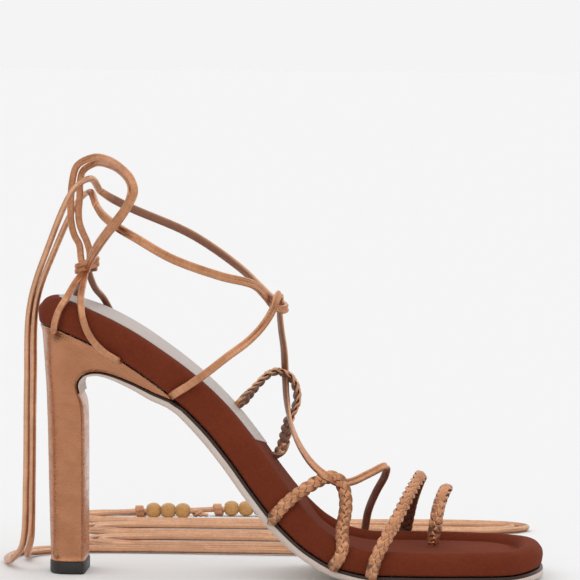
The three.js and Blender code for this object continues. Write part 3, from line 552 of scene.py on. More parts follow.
# %% Sizes of the sole
HEEL_BACK = -13.5
SOLE_REACH = 213.5
SEAT_RISE = 100.8
OUTSOLE_THICKNESS = 4.2
SEAM_GAP = 0.3
TREAD_LEVEL = OUTSOLE_THICKNESS + SEAM_GAP
SEAT_TOP = TREAD_LEVEL + SEAT_RISE
HALF_BALL = 40.0
PAD_THICKNESS = 12.6
RIM_WIDTH = 10.0
DISH_DEPTH = 4.0
HEEL_ROUND, HEEL_SQUARENESS = 26.0, 2.2
TOE_ROUND, TOE_SQUARENESS = 32.0, 2.7
HEEL_MIDDLE = HEEL_BACK + HEEL_ROUND
TOE_MIDDLE = HEEL_BACK + SOLE_REACH - TOE_ROUND
print("seat", SEAT_TOP, "reach", SOLE_REACH)

# %% [markdown]
# The side view gives how high the footbed's underside lies along the shoe, from 1 at the seat to 0
# under the ball. The plan gives the two half widths, and how the pad, its hollow and the outsole's
# edge thicken and thin along the shoe.

# %% Side view and plan
PROFILE = np.array([
    [0, 1], [0.04, 0.986], [0.091, 0.948], [0.157, 0.88], [0.222, 0.791], [0.279, 0.698],
    [0.335, 0.584], [0.386, 0.454], [0.433, 0.319], [0.485, 0.19], [0.546, 0.082], [0.607, 0.022],
    [0.672, 0], [0.93, 0], [1, 0.016],
])
# along, lateral, medial, pad, dish, edge
PLAN = np.array([
    [0, 0.665, 0.665, 0.96, 0, 0.8],
    [0.122, 0.665, 0.66, 1, 0, 0.8],
    [0.204, 0.645, 0.61, 1, 0, 0.85],
    [0.279, 0.61, 0.54, 1.02, 0, 0.9],
    [0.344, 0.585, 0.48, 1.04, 0, 1],
    [0.41, 0.605, 0.47, 1.03, 0, 1],
    [0.475, 0.7, 0.54, 0.98, 0, 1],
    [0.541, 0.81, 0.68, 0.9, 0.8, 0.95],
    [0.607, 0.92, 0.83, 0.82, 1, 0.95],
    [0.681, 0.985, 0.94, 0.79, 1, 1],
    [0.756, 1, 0.99, 0.78, 1, 1],
    [0.813, 0.98, 0.985, 0.78, 1, 1],
    [0.85, 0.95, 0.96, 0.78, 1, 1],
    [1, 0.9, 0.9, 0.78, 1, 1],
])


def plan(column, x):
    """A column of the plan at x."""
    return smooth_through(HEEL_BACK + PLAN[:, 0] * SOLE_REACH, PLAN[:, column], x)


def underside(x):
    """tread level + seat rise * profile."""
    return TREAD_LEVEL + SEAT_RISE * smooth_through(
        HEEL_BACK + PROFILE[:, 0] * SOLE_REACH, PROFILE[:, 1], x
    )


def side_normal(x):
    """Upward normal of the underside in the side view, from its slope over a millimetre."""
    slope = underside(x + 0.5) - underside(x - 0.5)
    length = np.hypot(slope, 1)
    return -slope / length, 1 / length


def pad_thickness(x):
    """The pad's thickness at x."""
    return PAD_THICKNESS * plan(3, x)


def dish_depth(x):
    """How deep the footbed is pressed down inside its rim at x."""
    return DISH_DEPTH * plan(4, x)


def edge_thickness(x):
    """The outsole's thickness at x."""
    return OUTSOLE_THICKNESS * plan(5, x)


print("pad at the seat and at the ball:", pad_thickness(np.array([0.0, 140.0])).round(1), "mm")

# %% [markdown]
# Every loop round the sole is the same outline drawn smaller by an inset, with rounded ends. A
# point on it is placed square to the underside, so the pad keeps its thickness on the slope.

# %% Loops round the sole


def end_factor(x, inset):
    """1 along the middle, and (1 - s^n)^(1/n) over the rounded heel and toe."""
    heel = np.clip((HEEL_MIDDLE - x) / (HEEL_ROUND - inset), 0, 1)
    toe = np.clip((x - TOE_MIDDLE) / (TOE_ROUND - inset), 0, 1)
    return (1 - heel**HEEL_SQUARENESS) ** (1 / HEEL_SQUARENESS) * (
        1 - toe**TOE_SQUARENESS
    ) ** (1 / TOE_SQUARENESS)


def half_width(x, side, inset):
    """side * (half ball * plan - inset) * end factor, with side -1 outwards and 1 inwards."""
    full = HALF_BALL * plan(1 if side < 0 else 2, x)
    return side * np.maximum(0, full - inset) * end_factor(x, inset)


END_STATIONS, MIDDLE_STATIONS = 26, 110


def stations(inset):
    """Places along the sole, closer together round the heel and the toe."""
    bend = np.sin(np.linspace(0, np.pi / 2, END_STATIONS + 1)[1:])
    heel = HEEL_MIDDLE - (HEEL_ROUND - inset) * bend ** (2 / HEEL_SQUARENESS)
    toe = TOE_MIDDLE + (TOE_ROUND - inset) * bend ** (2 / TOE_SQUARENESS)
    straight = np.linspace(HEEL_MIDDLE, TOE_MIDDLE, MIDDLE_STATIONS)
    return np.concatenate([heel[::-1], straight, toe])


def sole_point(x, y, height):
    """A point at a height above the footbed's underside, measured square to it."""
    nx, nz = side_normal(x)
    return np.stack(np.broadcast_arrays(x + nx * height, y, underside(x) + nz * height), axis=-1)


print("stations along the sole:", len(stations(0)))

# %% [markdown]
# The footbed is a foam pad with suede pulled over it, so its edge is one soft roll. From the ball
# to the toe the middle is pressed down inside the rim. It is a stack of loops round the plan,
# each with its own inset and height, and the top is filled by rows that run straight across.

# %% Footbed
# inset as a share of the rim's width, height of the pad, dish of the dish's depth
FOOTBED_EDGE = [
    [0.3, 0, 0], [0.08, 0.06, 0], [0, 0.3, 0], [0, 0.58, 0], [0.12, 0.82, 0], [0.36, 0.965, 0],
    [0.6, 1, 0.05], [0.85, 1, 0.45], [1.05, 1, 1], [1.35, 1, 0.75], [1.75, 1, 0.6],
]


def loop_of(inset, height_of):
    """A closed loop round the sole: the near side from heel to toe, then the far side back."""
    x = stations(inset)
    near = sole_point(x, half_width(x, -1, inset), height_of(x))
    far = sole_point(x, half_width(x, 1, inset), height_of(x))
    return np.concatenate([near, far[::-1]])


def filled_across(loop, rows=14):
    """The inside of a loop: straight rows from one side to the other."""
    half = len(loop) // 2
    near, far = loop[:half], loop[half:][::-1]
    share = np.linspace(0, 1, rows)[None, :, None]
    return near[:, None] * (1 - share) + far[:, None] * share


def oriented(shape, up):
    """An open grid turned so that its faces look up or down."""
    a, b, c = (shape["co"][shape["quads"][:, k]] for k in range(3))
    if (np.cross(b - a, c - a)[:, 2].sum() < 0) == up:
        shape["quads"], shape["uv"] = shape["quads"][:, ::-1], shape["uv"][:, ::-1]
    return shape


def make_footbed():
    """Loops at the edge table's insets, at height h * pad - d * dish, closed above and below."""
    rows = smooth_route(FOOTBED_EDGE, 5)
    loops = [
        loop_of(inset * RIM_WIDTH, lambda x, h=h, d=d: h * pad_thickness(x) - d * dish_depth(x))
        for inset, h, d in rows
    ]
    wall = grid(np.array(loops))
    top = oriented(grid(filled_across(loops[-1]), wrap_around=False), True)
    base = oriented(grid(filled_across(loops[0]), wrap_around=False), False)
    return together(wall, top, base)


footbed = piece("footbed_suede", make_footbed(), [suede_wrap], ["footbed"])

# %% [markdown]
# The sock is the pale lining leather glued on from the heel to the waist, with a slanted front.
# It lies flush on the suede, as a thin closed sheet.

# %% Heel sock
SOCK_INSET = 6.5
SOCK_FRONT = HEEL_BACK + 84
SOCK_SLANT = 3.0
SLANT_START = HEEL_BACK + 50
# further inset, lift above the suede
SOCK_EDGE = [(0.5, 0.05), (0.05, 0.08), (0, 0.2), (0.1, 0.36), (0.6, 0.45)]


def make_sock():
    """Loops a little above the footbed's top. Towards the front each side is moved along by half
    the slant, backwards on the near side and forwards on the far side."""
    loops = []
    for further, lift in SOCK_EDGE:
        inset = SOCK_INSET + further
        x = stations(inset)
        x = np.append(x[x < SOCK_FRONT - 1], SOCK_FRONT)
        ramp = np.maximum(0, (x - SLANT_START) / (SOCK_FRONT - SLANT_START)) * SOCK_SLANT / 2
        sides = []
        for side in (-1, 1):
            at = x + side * ramp
            height = pad_thickness(at) - dish_depth(at) + lift
            sides.append(sole_point(at, half_width(at, side, inset), height))
        loops.append(np.concatenate([sides[0], sides[1][::-1]]))
    wall = grid(np.array(loops))
    top = oriented(grid(filled_across(loops[-1], 10), wrap_around=False), True)
    base = oriented(grid(filled_across(loops[0], 10), wrap_around=False), False)
    return together(wall, top, base)


piece("heel_sock_leather", make_sock(), [sock_leather], ["heel_sock"])

# %% [markdown]
# The heel is a slim column that opens under the seat into a wedge, wrapped in foil leather with
# its seam down the back. A table gives each level's front and back and how far its plan has
# spread from the small tip to the seat, and the surface runs smoothly through the levels.

# %% Heel levels
TIP_WIDTH = 26.0
TIP_HALF_LENGTH = 7.5
TOP_PIECE_HEIGHT = 5.2
WEDGE_REACH = 44.5
WEDGE_EDGE = 0.6
SEAT_INSET = 1.2
# ahead, front up, behind, back up, spread
HEEL_LEVELS = np.array([
    [0.169, 0.052, 0.169, 0.052, 0],
    [0.166, 0.3, 0.187, 0.3, 0],
    [0.162, 0.57, 0.203, 0.57, 0.02],
    [0.15, 0.674, 0.212, 0.68, 0.08],
    [0.11, 0.722, 0.218, 0.75, 0.18],
    [0.096, 0.762, 0.225, 0.8, 0.3],
    [0.16, 0.801, 0.234, 0.855, 0.48],
    [0.288, 0.816, 0.243, 0.902, 0.65],
    [0.44, 0.807, 0.25, 0.935, 0.8],
    [0.64, 0.777, 0.256, 0.96, 0.9],
    [0.83, 0.741, 0.262, 0.977, 0.96],
])


def seat_height(x):
    """Just under the footbed, by the seam's gap."""
    return underside(x) - SEAM_GAP / side_normal(x)[1]


SEAT_BACK = HEEL_BACK + SEAT_INSET


def tip_plan(share):
    """Half width of the tip's plan, as a share: round behind, with eased front corners."""
    back = (1 - (1 - np.minimum(1, share / 0.5)) ** 2.4) ** (1 / 2.4)
    return back * np.where(share > 0.93, 1 - 0.2 * (share - 0.93) / 0.07, 1)


def heel_levels(fine):
    """Rows of front x and z, back x and z, and spread, from the tip to under the seat."""
    rows = smooth_route(HEEL_LEVELS, fine)
    low = rows * np.array([WEDGE_REACH, SEAT_TOP, -WEDGE_REACH, SEAT_TOP, 1])
    seat = np.array([WEDGE_REACH, seat_height(WEDGE_REACH), SEAT_BACK, seat_height(SEAT_BACK), 1])
    under = seat - np.array([0.4, WEDGE_EDGE, 0, WEDGE_EDGE, 0])
    return np.vstack([low, under]), seat


def heel_half(spread, share, side):
    """tip's half width * (1 - spread) + seat's half width * spread."""
    seat_x = SEAT_BACK + (WEDGE_REACH - SEAT_BACK) * share
    tip = side * TIP_WIDTH / 2 * tip_plan(share)
    return tip * (1 - spread) + half_width(seat_x, side, SEAT_INSET) * spread


def heel_loop_at(level, shares):
    """One closed loop: the near side from back to front, then the far side back again."""
    front_x, front_z, back_x, back_z, spread = level
    seat_x = SEAT_BACK + (WEDGE_REACH - SEAT_BACK) * shares
    chord = seat_height(SEAT_BACK) * (1 - shares) + seat_height(WEDGE_REACH) * shares
    z = back_z + (front_z - back_z) * shares + (seat_height(seat_x) - chord) * spread
    x = back_x + (front_x - back_x) * shares
    near = np.stack([x, heel_half(spread, shares, -1), z], axis=1)
    far = np.stack([x, heel_half(spread, shares, 1), z], axis=1)
    return np.concatenate([near, far[::-1]])


HEEL_SHARES = np.concatenate([
    0.5 * (1 - np.cos(np.linspace(0, np.pi / 2, 22))) ** 1.3,
    np.linspace(0.52, 0.93, 16),
    [0.96, 0.985, 1],
])
print("points along each side of the heel:", len(HEEL_SHARES))

# %% [markdown]
# The heel's cover is a stack of loops, one for each level. The rubber tip below repeats the lowest
# loop, a touch larger, with eased edges.

# %% Heel and tip
ROWS_PER_LEVEL = 9


def make_heel():
    """Loops at every level from the tip to the seat, closed above and below."""
    low, seat = heel_levels(ROWS_PER_LEVEL)
    loops = [heel_loop_at(level, HEEL_SHARES) for level in low]
    loops.append(heel_loop_at(seat, HEEL_SHARES))
    wall = grid(np.array(loops))
    top = oriented(grid(filled_across(loops[-1], 10), wrap_around=False), True)
    base = oriented(grid(filled_across(loops[0], 8), wrap_around=False), False)
    return together(wall, top, base)


piece("heel_cover", make_heel(), [bronze_heel], ["heel"])


TIP_OVERHANG = 0.3
# height, how much smaller
TIP_RINGS = [(0, 0.07), (0.25, 0.02), (0.8, 0), (4.7, 0), (TOP_PIECE_HEIGHT, 0.02)]


def make_top_piece():
    """The heel's lowest loop made larger about its middle, at each ring's height."""
    level = heel_levels(2)[0][0]
    flat = heel_loop_at(level, HEEL_SHARES)
    middle = np.array([(level[0] + level[2]) / 2, 0, 0])
    rings = []
    for z, smaller in TIP_RINGS:
        ring = (flat - middle) * (1 + TIP_OVERHANG / TIP_HALF_LENGTH - smaller) + middle
        ring[:, 2] = z
        rings.append(ring)
    base = oriented(grid(filled_across(rings[0], 8), wrap_around=False), False)
    top = oriented(grid(filled_across(rings[-1], 8), wrap_around=False), True)
    return together(grid(np.array(rings)), base, top)


piece("heel_tip_rubber", make_top_piece(), [tip_rubber], ["top_piece"])

# %% [markdown]
# The outsole is one strip of leather from the toe, under the ball and shank, over the wedge's
# thin edge and down the front of the heel. Its cut edge is inked dark above and left pale below,
# so the edge is a step between two finishes.

# %% Outsole
# inset as a share of the rim's width, drop of the edge's thickness
OUTSOLE_EDGE = np.array([
    [0.35, 0], [0.10, 0], [0.08, 0.03], [0.08, 0.22], [0.075, 0.26], [0.02, 0.29], [0.0, 0.33],
    [0.0, 0.6], [0.02, 0.74], [0.09, 0.88], [0.2, 0.97], [0.35, 1], [0.6, 1],
])
INKED_RINGS = 5
FLAP_THICKNESS = 0.9
FLAP_LEVEL, FLAP_ROWS = 4, 6
SHANK_START = WEDGE_REACH + 4


def make_outsole():
    """One strip in two stretches: the flap follows the heel's front, levels and all, and from the
    shank on it follows the underside. Each loop lies below that line by drop * thickness."""
    loops = []
    low, _ = heel_levels(FLAP_ROWS)
    levels = low[FLAP_LEVEL * FLAP_ROWS:]
    share = np.linspace(0, 1, len(levels))
    for inset_share, drop in OUTSOLE_EDGE:
        inset = inset_share * RIM_WIDTH
        x = stations(inset)
        x = x[x > SHANK_START]
        nx, nz = side_normal(x)
        front = {
            "x": x, "z": underside(x), "nx": nx, "nz": nz, "thick": edge_thickness(x),
            "near": half_width(x, -1, inset), "far": half_width(x, 1, inset),
        }
        path = np.stack([np.append(levels[:, 0], x[0]), np.append(levels[:, 1], front["z"][0])], axis=1)
        along = unit(np.gradient(path, axis=0))[:-1]
        # the flap is thin at its lower end, so its edge is rounded less there
        shrink = inset * (0.3 + 0.7 * share)
        rear = {
            "x": levels[:, 0], "z": levels[:, 1], "nx": -along[:, 1], "nz": along[:, 0],
            "thick": FLAP_THICKNESS + (edge_thickness(WEDGE_REACH) - FLAP_THICKNESS) * share**2,
            "near": np.minimum(0, heel_half(levels[:, 4], 1.0, -1) + shrink),
            "far": np.maximum(0, heel_half(levels[:, 4], 1.0, 1) - shrink),
        }
        at = {key: np.concatenate([rear[key], front[key]]) for key in rear}
        down = SEAM_GAP + drop * at["thick"]
        px, pz = at["x"] - at["nx"] * down, at["z"] - at["nz"] * down
        near = np.stack([px, at["near"], pz], axis=1)
        far = np.stack([px, at["far"], pz], axis=1)
        loops.append(np.concatenate([near, far[::-1]]))
    wall = grid(np.array(loops))
    ring = np.repeat(np.arange(len(loops) - 1), loops[0].shape[0])
    wall["part"] = np.where(ring < INKED_RINGS, 1, 0)
    top = oriented(grid(filled_across(loops[0], 6), wrap_around=False), True)
    base = oriented(grid(filled_across(loops[-1], 12), wrap_around=False), False)
    return together(wall, top, base)


piece("outsole_leather", make_outsole(), [outsole_pale, edge_ink], ["outsole"])

# %% [markdown]
# Strap routes are given as a maker would mark them: how far along the sole, how far across from
# its middle, and how high, each in percent of the shoe's own sizes. A foot of a strap is fixed on
# the footbed's outer wall or stands on the sock.

# %% Strap routes


def route_points(rows):
    """Rows of percent as points: along the sole, across from its middle, and up to the seat."""
    shares = np.asarray(rows, float) / 100
    return np.stack([HEEL_BACK + shares[:, 0] * SOLE_REACH, shares[:, 1] * HALF_BALL,
                     shares[:, 2] * SEAT_TOP], axis=1)


def wall_foot(low_along, high_along, side, thickness):
    """A foot on the outer wall. Its end is tucked into the seam under the suede."""
    x = HEEL_BACK + np.array([low_along, low_along, high_along]) / 100 * SOLE_REACH
    stand = np.array([-1.6, 0.3, 0.45]) + thickness / 2
    height = np.array([-0.03, 0.08, 0.72]) * pad_thickness(x)
    return sole_point(x, half_width(x, side, 0) + side * stand, height)


def top_foot(along, across):
    """A foot that comes out of the footbed's top."""
    x = np.full(2, HEEL_BACK + along / 100 * SOLE_REACH)
    standing = pad_thickness(x) - dish_depth(x) + np.array([-0.6, 3.5])
    return sole_point(x, np.full(2, across / 100 * HALF_BALL), standing)


def away_from_line(heel, toe):
    """Straight out from a line that runs inside the foot, evened out over a few millimetres."""
    heel, toe = np.array(heel, float), np.array(toe, float)

    def facing(route):
        axis = unit(toe - heel)
        out = route - heel
        out = unit(out - (out @ axis)[:, None] * axis)
        s = distances(route)
        near = np.exp(-(((s[:, None] - s[None, :]) / 7.0) ** 2))
        return unit(near @ out)

    return facing


over_forefoot = away_from_line([10, 0, 122], [150, 0, 14])
over_instep = away_from_line([10, 0, 122], [150, 0, -12])
print("a foot on the wall:", wall_foot(60, 60.5, -1, 3.0)[0].round(1))

# %% [markdown]
# These are the marked routes. Each row is a point that was chosen on the side view, with
# its place across guessed from how a foot fills the strap.

# %% Marked routes
LATERAL_LOOP = [
    [46.7, -62, 24.4], [47.3, -73.8, 25.6], [49.7, -75.5, 31.3], [52.9, -67.5, 36.2], [55.9, -60, 39.9],
    [58.2, -55, 41.4], [59.8, -53.8, 40.5], [61, -55, 36.3], [61.4, -65, 30], [60.8, -82.5, 21.7],
]
MEDIAL_LOOP = [
    [43.1, 37.5, 74.7], [45.1, 45, 78.5], [47, 50, 79.7],
    [49.4, 52.5, 77.6], [50.8, 52.5, 72.7], [50.9, 50, 66.8], [49.6, 42.5, 60.9],
]
INSTEP_STRAP = [
    [27.1, -57, 72.4], [27.8, -65.5, 73.7], [30.5, -66.5, 77.1], [33.9, -67.5, 82], [38.1, -65, 88.7],
    [41.9, -55, 94.4], [44.6, -40, 100], [46.4, -32, 105.7],
    [47.2, -22, 110.6], [47.8, -10, 112.4], [47.9, -2.5, 109.8], [47.7, 2.5, 104.9],
    [47.9, 17.5, 97.2], [48.3, 37.5, 88.6], [48.4, 55.8, 79.5], [48.7, 50, 70], [49.4, 36.2, 62.3],
    [50.8, 10, 55.3], [52.9, -22.5, 49.4], [55.3, -50, 45], [57.5, -62.5, 42.1],
    [59.8, -50, 38.9], [62.4, -37.5, 38.9], [65.9, -20, 41.6], [68.9, 0, 43.7],
    [68.7, 20, 39.2], [66.8, 50, 30.9], [65.1, 80, 21.3],
]
TOE_STRAP = [
    [70.1, -90, 21.6], [72.3, -67.5, 29.6], [74.2, -37.5, 36.2], [75.9, 0, 40.2],
    [75.2, 37.5, 35.6], [73.8, 75, 25.8],
]
TOE_LOOP = [
    [78.3, 5, 12.6], [78.7, 5, 20], [79.2, 12.5, 25.7], [80, 30, 31], [80.8, 50, 33.3],
    [80.2, 72.5, 29.9], [79.2, 90, 22.9],
]

print("rows in the longest route:", len(INSTEP_STRAP))

# %% [markdown]
# The braids are flat plaits of three strips. Strip k swings from edge to edge as
# u = A sin(phase) while it rises and dips as v = B sin(2 phase), and the three are a third of a
# turn apart, so each strip passes over one neighbour and under the other. Near its feet a plait
# is bound into a smooth tab.

# %% Braids
BRAID_WIDTH, BRAID_THICKNESS, BRAID_PITCH = 6.0, 3.0, 12.0
STRIP_WIDTH, STRIP_THICKNESS = 3.1, 1.2
PLAIT_SWING = (BRAID_WIDTH - STRIP_WIDTH) / 2
PLAIT_LIFT = (BRAID_THICKNESS - STRIP_THICKNESS) / 2 * 0.85
PLAIT_STEP, TAPER_LENGTH, TAB_POINTS = 0.45, 5, 18


def plait(points, facing_of):
    """Three swept strips, each u to the side and v above the route and leaning with its swing,
    and a tab over each end. The swing narrows to about half over the last few millimetres."""
    route = even_route(points, PLAIT_STEP)
    facing = facing_of(route)
    _, outward, sideways = frame_along(route, facing)
    s = distances(route)
    ends = np.clip(np.minimum(s, s[-1] - s) / TAPER_LENGTH, 0, 1)
    narrow = 0.55 + 0.45 * ends * ends * (3 - 2 * ends)
    section = oblong(STRIP_WIDTH, STRIP_THICKNESS, 16, 2.8, groove=0.16)
    marks = strap_marks(section)
    parts = []
    for k in range(3):
        phase = 2 * np.pi * (s / BRAID_PITCH + k / 3)
        u = PLAIT_SWING * narrow * np.sin(phase)
        v = PLAIT_LIFT * np.sin(2 * phase)
        strip = route + sideways * u[:, None] + outward * v[:, None]
        lean = outward + sideways * (0.5 * np.sin(phase))[:, None]
        # Painted shade: under is 1 where the strip dips lowest, under its neighbour.
        under = 0.5 - 0.5 * np.sin(2 * phase)
        parts.append(sweep(strip, lean, section, **marks, tone=under))
    tab = oblong(BRAID_WIDTH * 0.86, 2.2, 18, 3.2)
    marks = strap_marks(tab)
    for end in (slice(TAB_POINTS), slice(-TAB_POINTS, None)):
        parts.append(sweep(route[end], facing[end], tab, round_end=0.4, **marks))
    return together(*parts)


print("a strip swings", round(PLAIT_SWING, 2), "mm and rises", round(PLAIT_LIFT, 2), "mm")

# %% [markdown]
# A braid's flat face must look away from what it lies on: the lateral loop's away from the foot's
# side, the toe strap's up and out over the forefoot, and the medial loop's out from its own middle.

# %% Four braids


def sideways_facing(side):
    """Straight out to one side, a quarter as much up."""
    return lambda route: np.broadcast_to(np.array([0, side, 0.25]), route.shape)


def around_loop(route):
    """Out from the loop's middle and a little away from the foot, so its edge faces the camera."""
    out = unit((route - route.mean(axis=0)) * [1, 0, 1])
    return 0.93 * out + np.array([0, 0.36, 0])


def over_toe(route):
    """Out from a line along the middle of the big toe."""
    return route * [0, 1, 1] - np.array([0, 0.5 * HALF_BALL, 0.14 * SEAT_TOP])


lateral_points = np.vstack([
    route_points(LATERAL_LOOP), wall_foot(59.2, 59.8, -1, BRAID_THICKNESS)[::-1],
])
medial_points = np.vstack([top_foot(34.4, 18), route_points(MEDIAL_LOOP), top_foot(41.7, 18)[::-1]])
toe_strap_points = np.vstack([
    wall_foot(66.6, 67.4, -1, BRAID_THICKNESS), route_points(TOE_STRAP),
    wall_foot(71.8, 72.4, 1, BRAID_THICKNESS)[::-1],
])
toe_loop_points = np.vstack([
    route_points(TOE_LOOP), wall_foot(78.4, 78.6, 1, BRAID_THICKNESS)[::-1],
])
for name, points, facing, node in [
    ("lateral_loop_plait", lateral_points, sideways_facing(-1), "upper"),
    ("medial_loop_plait", medial_points, around_loop, "upper"),
    ("toe_strap_plait", toe_strap_points, over_forefoot, "toe_strap"),
    ("toe_loop_plait", toe_loop_points, over_toe, "toe_loop"),
]:
    piece(name, plait(points, facing), [bronze_plait], [node])

# %% [markdown]
# The instep strap is one folded strip of foil leather: both long edges are turned in and meet in
# a groove down the middle. The ankle lace is the same strip, a little wider. It hooks through
# the instep strap's top and runs back on both sides of the ankle.

# %% Instep strap and ankle lace
STRAP_WIDTH, STRAP_THICKNESS, STRAP_STANDOFF = 3.4, 2.0, 2.2
LACE_WIDTH, LACE_THICKNESS, LACE_END_WIDTH = 3.7, 2.3, 3.1
instep_points = np.vstack([route_points(INSTEP_STRAP), wall_foot(63, 63.6, 1, STRAP_STANDOFF)[::-1]])
LACE_CROSSING = [
    [12.1, -36.2, 147], [13.6, -48.8, 143.6], [16.9, -61.2, 138.9], [20.2, -70, 135.4],
    [27.5, -77.5, 127.4], [36.7, -67.5, 120.6], [42.8, -47.5, 117], [44.9, -27.5, 112.4],
    [46.6, -14.5, 107.7], [48.1, -10.8, 106.2], [49, 0, 106.6], [48.1, 11.5, 107.9],
    [46.3, 16.5, 109.7], [43.3, 33.8, 114.5], [39, 55, 121.6], [29.1, 75, 134.3],
    [17.3, 72.5, 144.5], [13.3, 58.5, 148.9], [11.5, 42.5, 151.8],
]


def folded_strap(points, facing, width, thickness, end_width):
    """The strap's sections, which narrow to end_width over the last centimetre at each end."""
    route = even_route(points, 0.8)
    section = oblong(width, thickness, 28, 2.8, groove=0.28 * thickness)
    marks = strap_marks(section)
    s = distances(route)
    full = np.clip(np.minimum(s, s[-1] - s) / 10, 0, 1)
    narrow = end_width / width
    sections = section[None] * np.stack([narrow + (1 - narrow) * full, np.ones(len(s))], axis=1)[:, None]
    return sweep(route, facing(route), sections, edge=marks["edge"],
                 inner=marks["inner"] * full[:, None])


def around_ankle(route):
    """Out from the ankle's middle, mostly level."""
    out = route - np.array([50.0, 0, 100.0])
    return out * [1, 1, 0.25]


instep = folded_strap(instep_points, over_instep, STRAP_WIDTH, STRAP_THICKNESS, STRAP_WIDTH)
lace = folded_strap(route_points(LACE_CROSSING), around_ankle, LACE_WIDTH, LACE_THICKNESS,
                    LACE_END_WIDTH)
piece("instep_strap", instep, [bronze_strap], ["upper"])
piece("ankle_lace", lace, [bronze_cord], ["tie_crossing"])

# %% [markdown]
# At the heel four thin legs rise from under the footbed's edge to a knot, and a doubled loop
# stands above it for the lace to pass through. The knot is a strip wound twice round all the
# strands.

# %% Heel cords
HEEL_CORDS = {
  "lateral_rear": (-1, [
    [4.1, -48, 97.6], [4.3, -59.5, 98.4], [4.5, -62.5, 101.1], [5.2, -61.2, 105.8],
    [6.6, -52.5, 111.1], [7.7, -32.5, 115.9], [8.9, -15, 120.1], [9.7, -10, 123.5],
  ]),
  "lateral_front": (-1, [
    [17.3, -56, 86.2], [16.9, -68.5, 87], [14.3, -71.5, 90.2], [11.7, -72.2, 95.9], [10.1, -69.5, 103],
    [9.4, -53.8, 110.5], [9.3, -30, 115.4], [9.5, -12.5, 120.6], [9.8, -10, 124.4],
  ]),
  "medial_front": (1, [
    [15.5, 70, 91.2], [13.8, 70, 99.7], [12.1, 56.2, 107.7], [10.7, 30, 113], [10, 5, 119.2],
    [9.8, -7.5, 124.4],
  ]),
  "medial_rear": (1, [
    [5.4, 65.5, 97.8], [5.8, 65.5, 103.5], [6.6, 53.8, 111.1], [7.8, 30, 114.9],
    [8.9, 5, 119.2], [9.7, -7.5, 124.4],
  ]),
  "loop_near": (-1, [
    [9.2, -10, 122], [8.6, -7.5, 125.1], [8.2, -7.5, 131.1], [7.2, -7.5, 135], [6.6, -7.5, 139.8],
    [6.4, -5, 144.6], [6.4, -2.5, 150], [6.6, 0, 156.2], [7.5, -1.5, 162.4], [11, -15, 166.2],
    [14.3, -35, 165.6], [17.6, -62.5, 162.2], [19.7, -82.5, 158.2], [20.4, -92.5, 153.5],
    [19.5, -93.8, 148.9], [17.8, -88.8, 143.4], [15.5, -79.5, 137.9], [12.6, -50, 130.5],
    [10.4, -22.5, 123.9], [9.8, -15, 121.1],
  ]),
  "loop_far": (-1, [
    [10.2, -10, 122.5], [10.3, -7.5, 127.8], [9.7, -7.5, 132.4], [8.8, -7.5, 136.4],
    [8.2, -7.5, 140], [8, -5, 144.7], [8.1, 0, 150], [8.1, 2.5, 155.7], [8.6, 7.5, 160.5],
    [11, 3.8, 163.5], [14.8, -22.5, 162.8], [17.6, -48.8, 159.9], [19.2, -71.2, 156.3],
    [19.5, -83.5, 153.1], [18.9, -85, 149.1], [17.2, -80, 144], [15, -71, 138.7],
    [12.2, -42.5, 131.4], [10.4, -17.5, 124.9], [9.8, -10, 121.1],
  ]),
}
print("heel cords:", list(HEEL_CORDS))

# %% [markdown]
# Each cord is the folded strip again, a little thinner. The knot is drawn as what it looks like from
# outside, a strip wound twice round the strands at a slant.

# %% Cords and knot
CORD_WIDTH, CORD_THICKNESS = 2.9, 2.1
KNOT_MIDDLE = np.array([7.4, -4.0, 129.2])


def heel_cord(side, rows):
    """A cord along a marked route, with its grooved face to one side."""
    route = even_route(route_points(rows), 0.7)
    section = oblong(CORD_WIDTH, CORD_THICKNESS, 22, 2.6, groove=0.35)
    return sweep(route, np.array([0, side, 0.25]), section, **strap_marks(section))


def knot_wrap(middle, reach, depth, turns, pitch, lean):
    """A flattened helix: x = a cos t, y = b sin t, z rising by the pitch each turn."""
    t = np.linspace(0, 2 * np.pi * turns, int(60 * turns)) + 0.6
    z = pitch * (t / (2 * np.pi) - turns / 2) + lean * np.cos(t)
    route = middle + np.stack([reach * np.cos(t), depth * np.sin(t), z], axis=1)
    facing = np.stack([np.cos(t) * depth, np.sin(t) * reach, 0 * t], axis=1)
    section = oblong(2.3, 1.9, 20, 2.2, groove=0.15)
    return sweep(route, facing, section, **strap_marks(section))


cords = [heel_cord(side, rows) for side, rows in HEEL_CORDS.values()]
wrap = knot_wrap(KNOT_MIDDLE, reach=4.4, depth=2.7, turns=2.1, pitch=2.1, lean=1.1)
piece("heel_loop_cords", together(*cords, wrap), [bronze_cord], ["heel_loop"])

# %% [markdown]
# The lace's two free ends are limp cords of about 1.5 m each. With no leg to wind round, they
# hang from the heel loop over the back of the seat and lie on the floor behind the shoe. Their
# points are the ones the CAD uses.

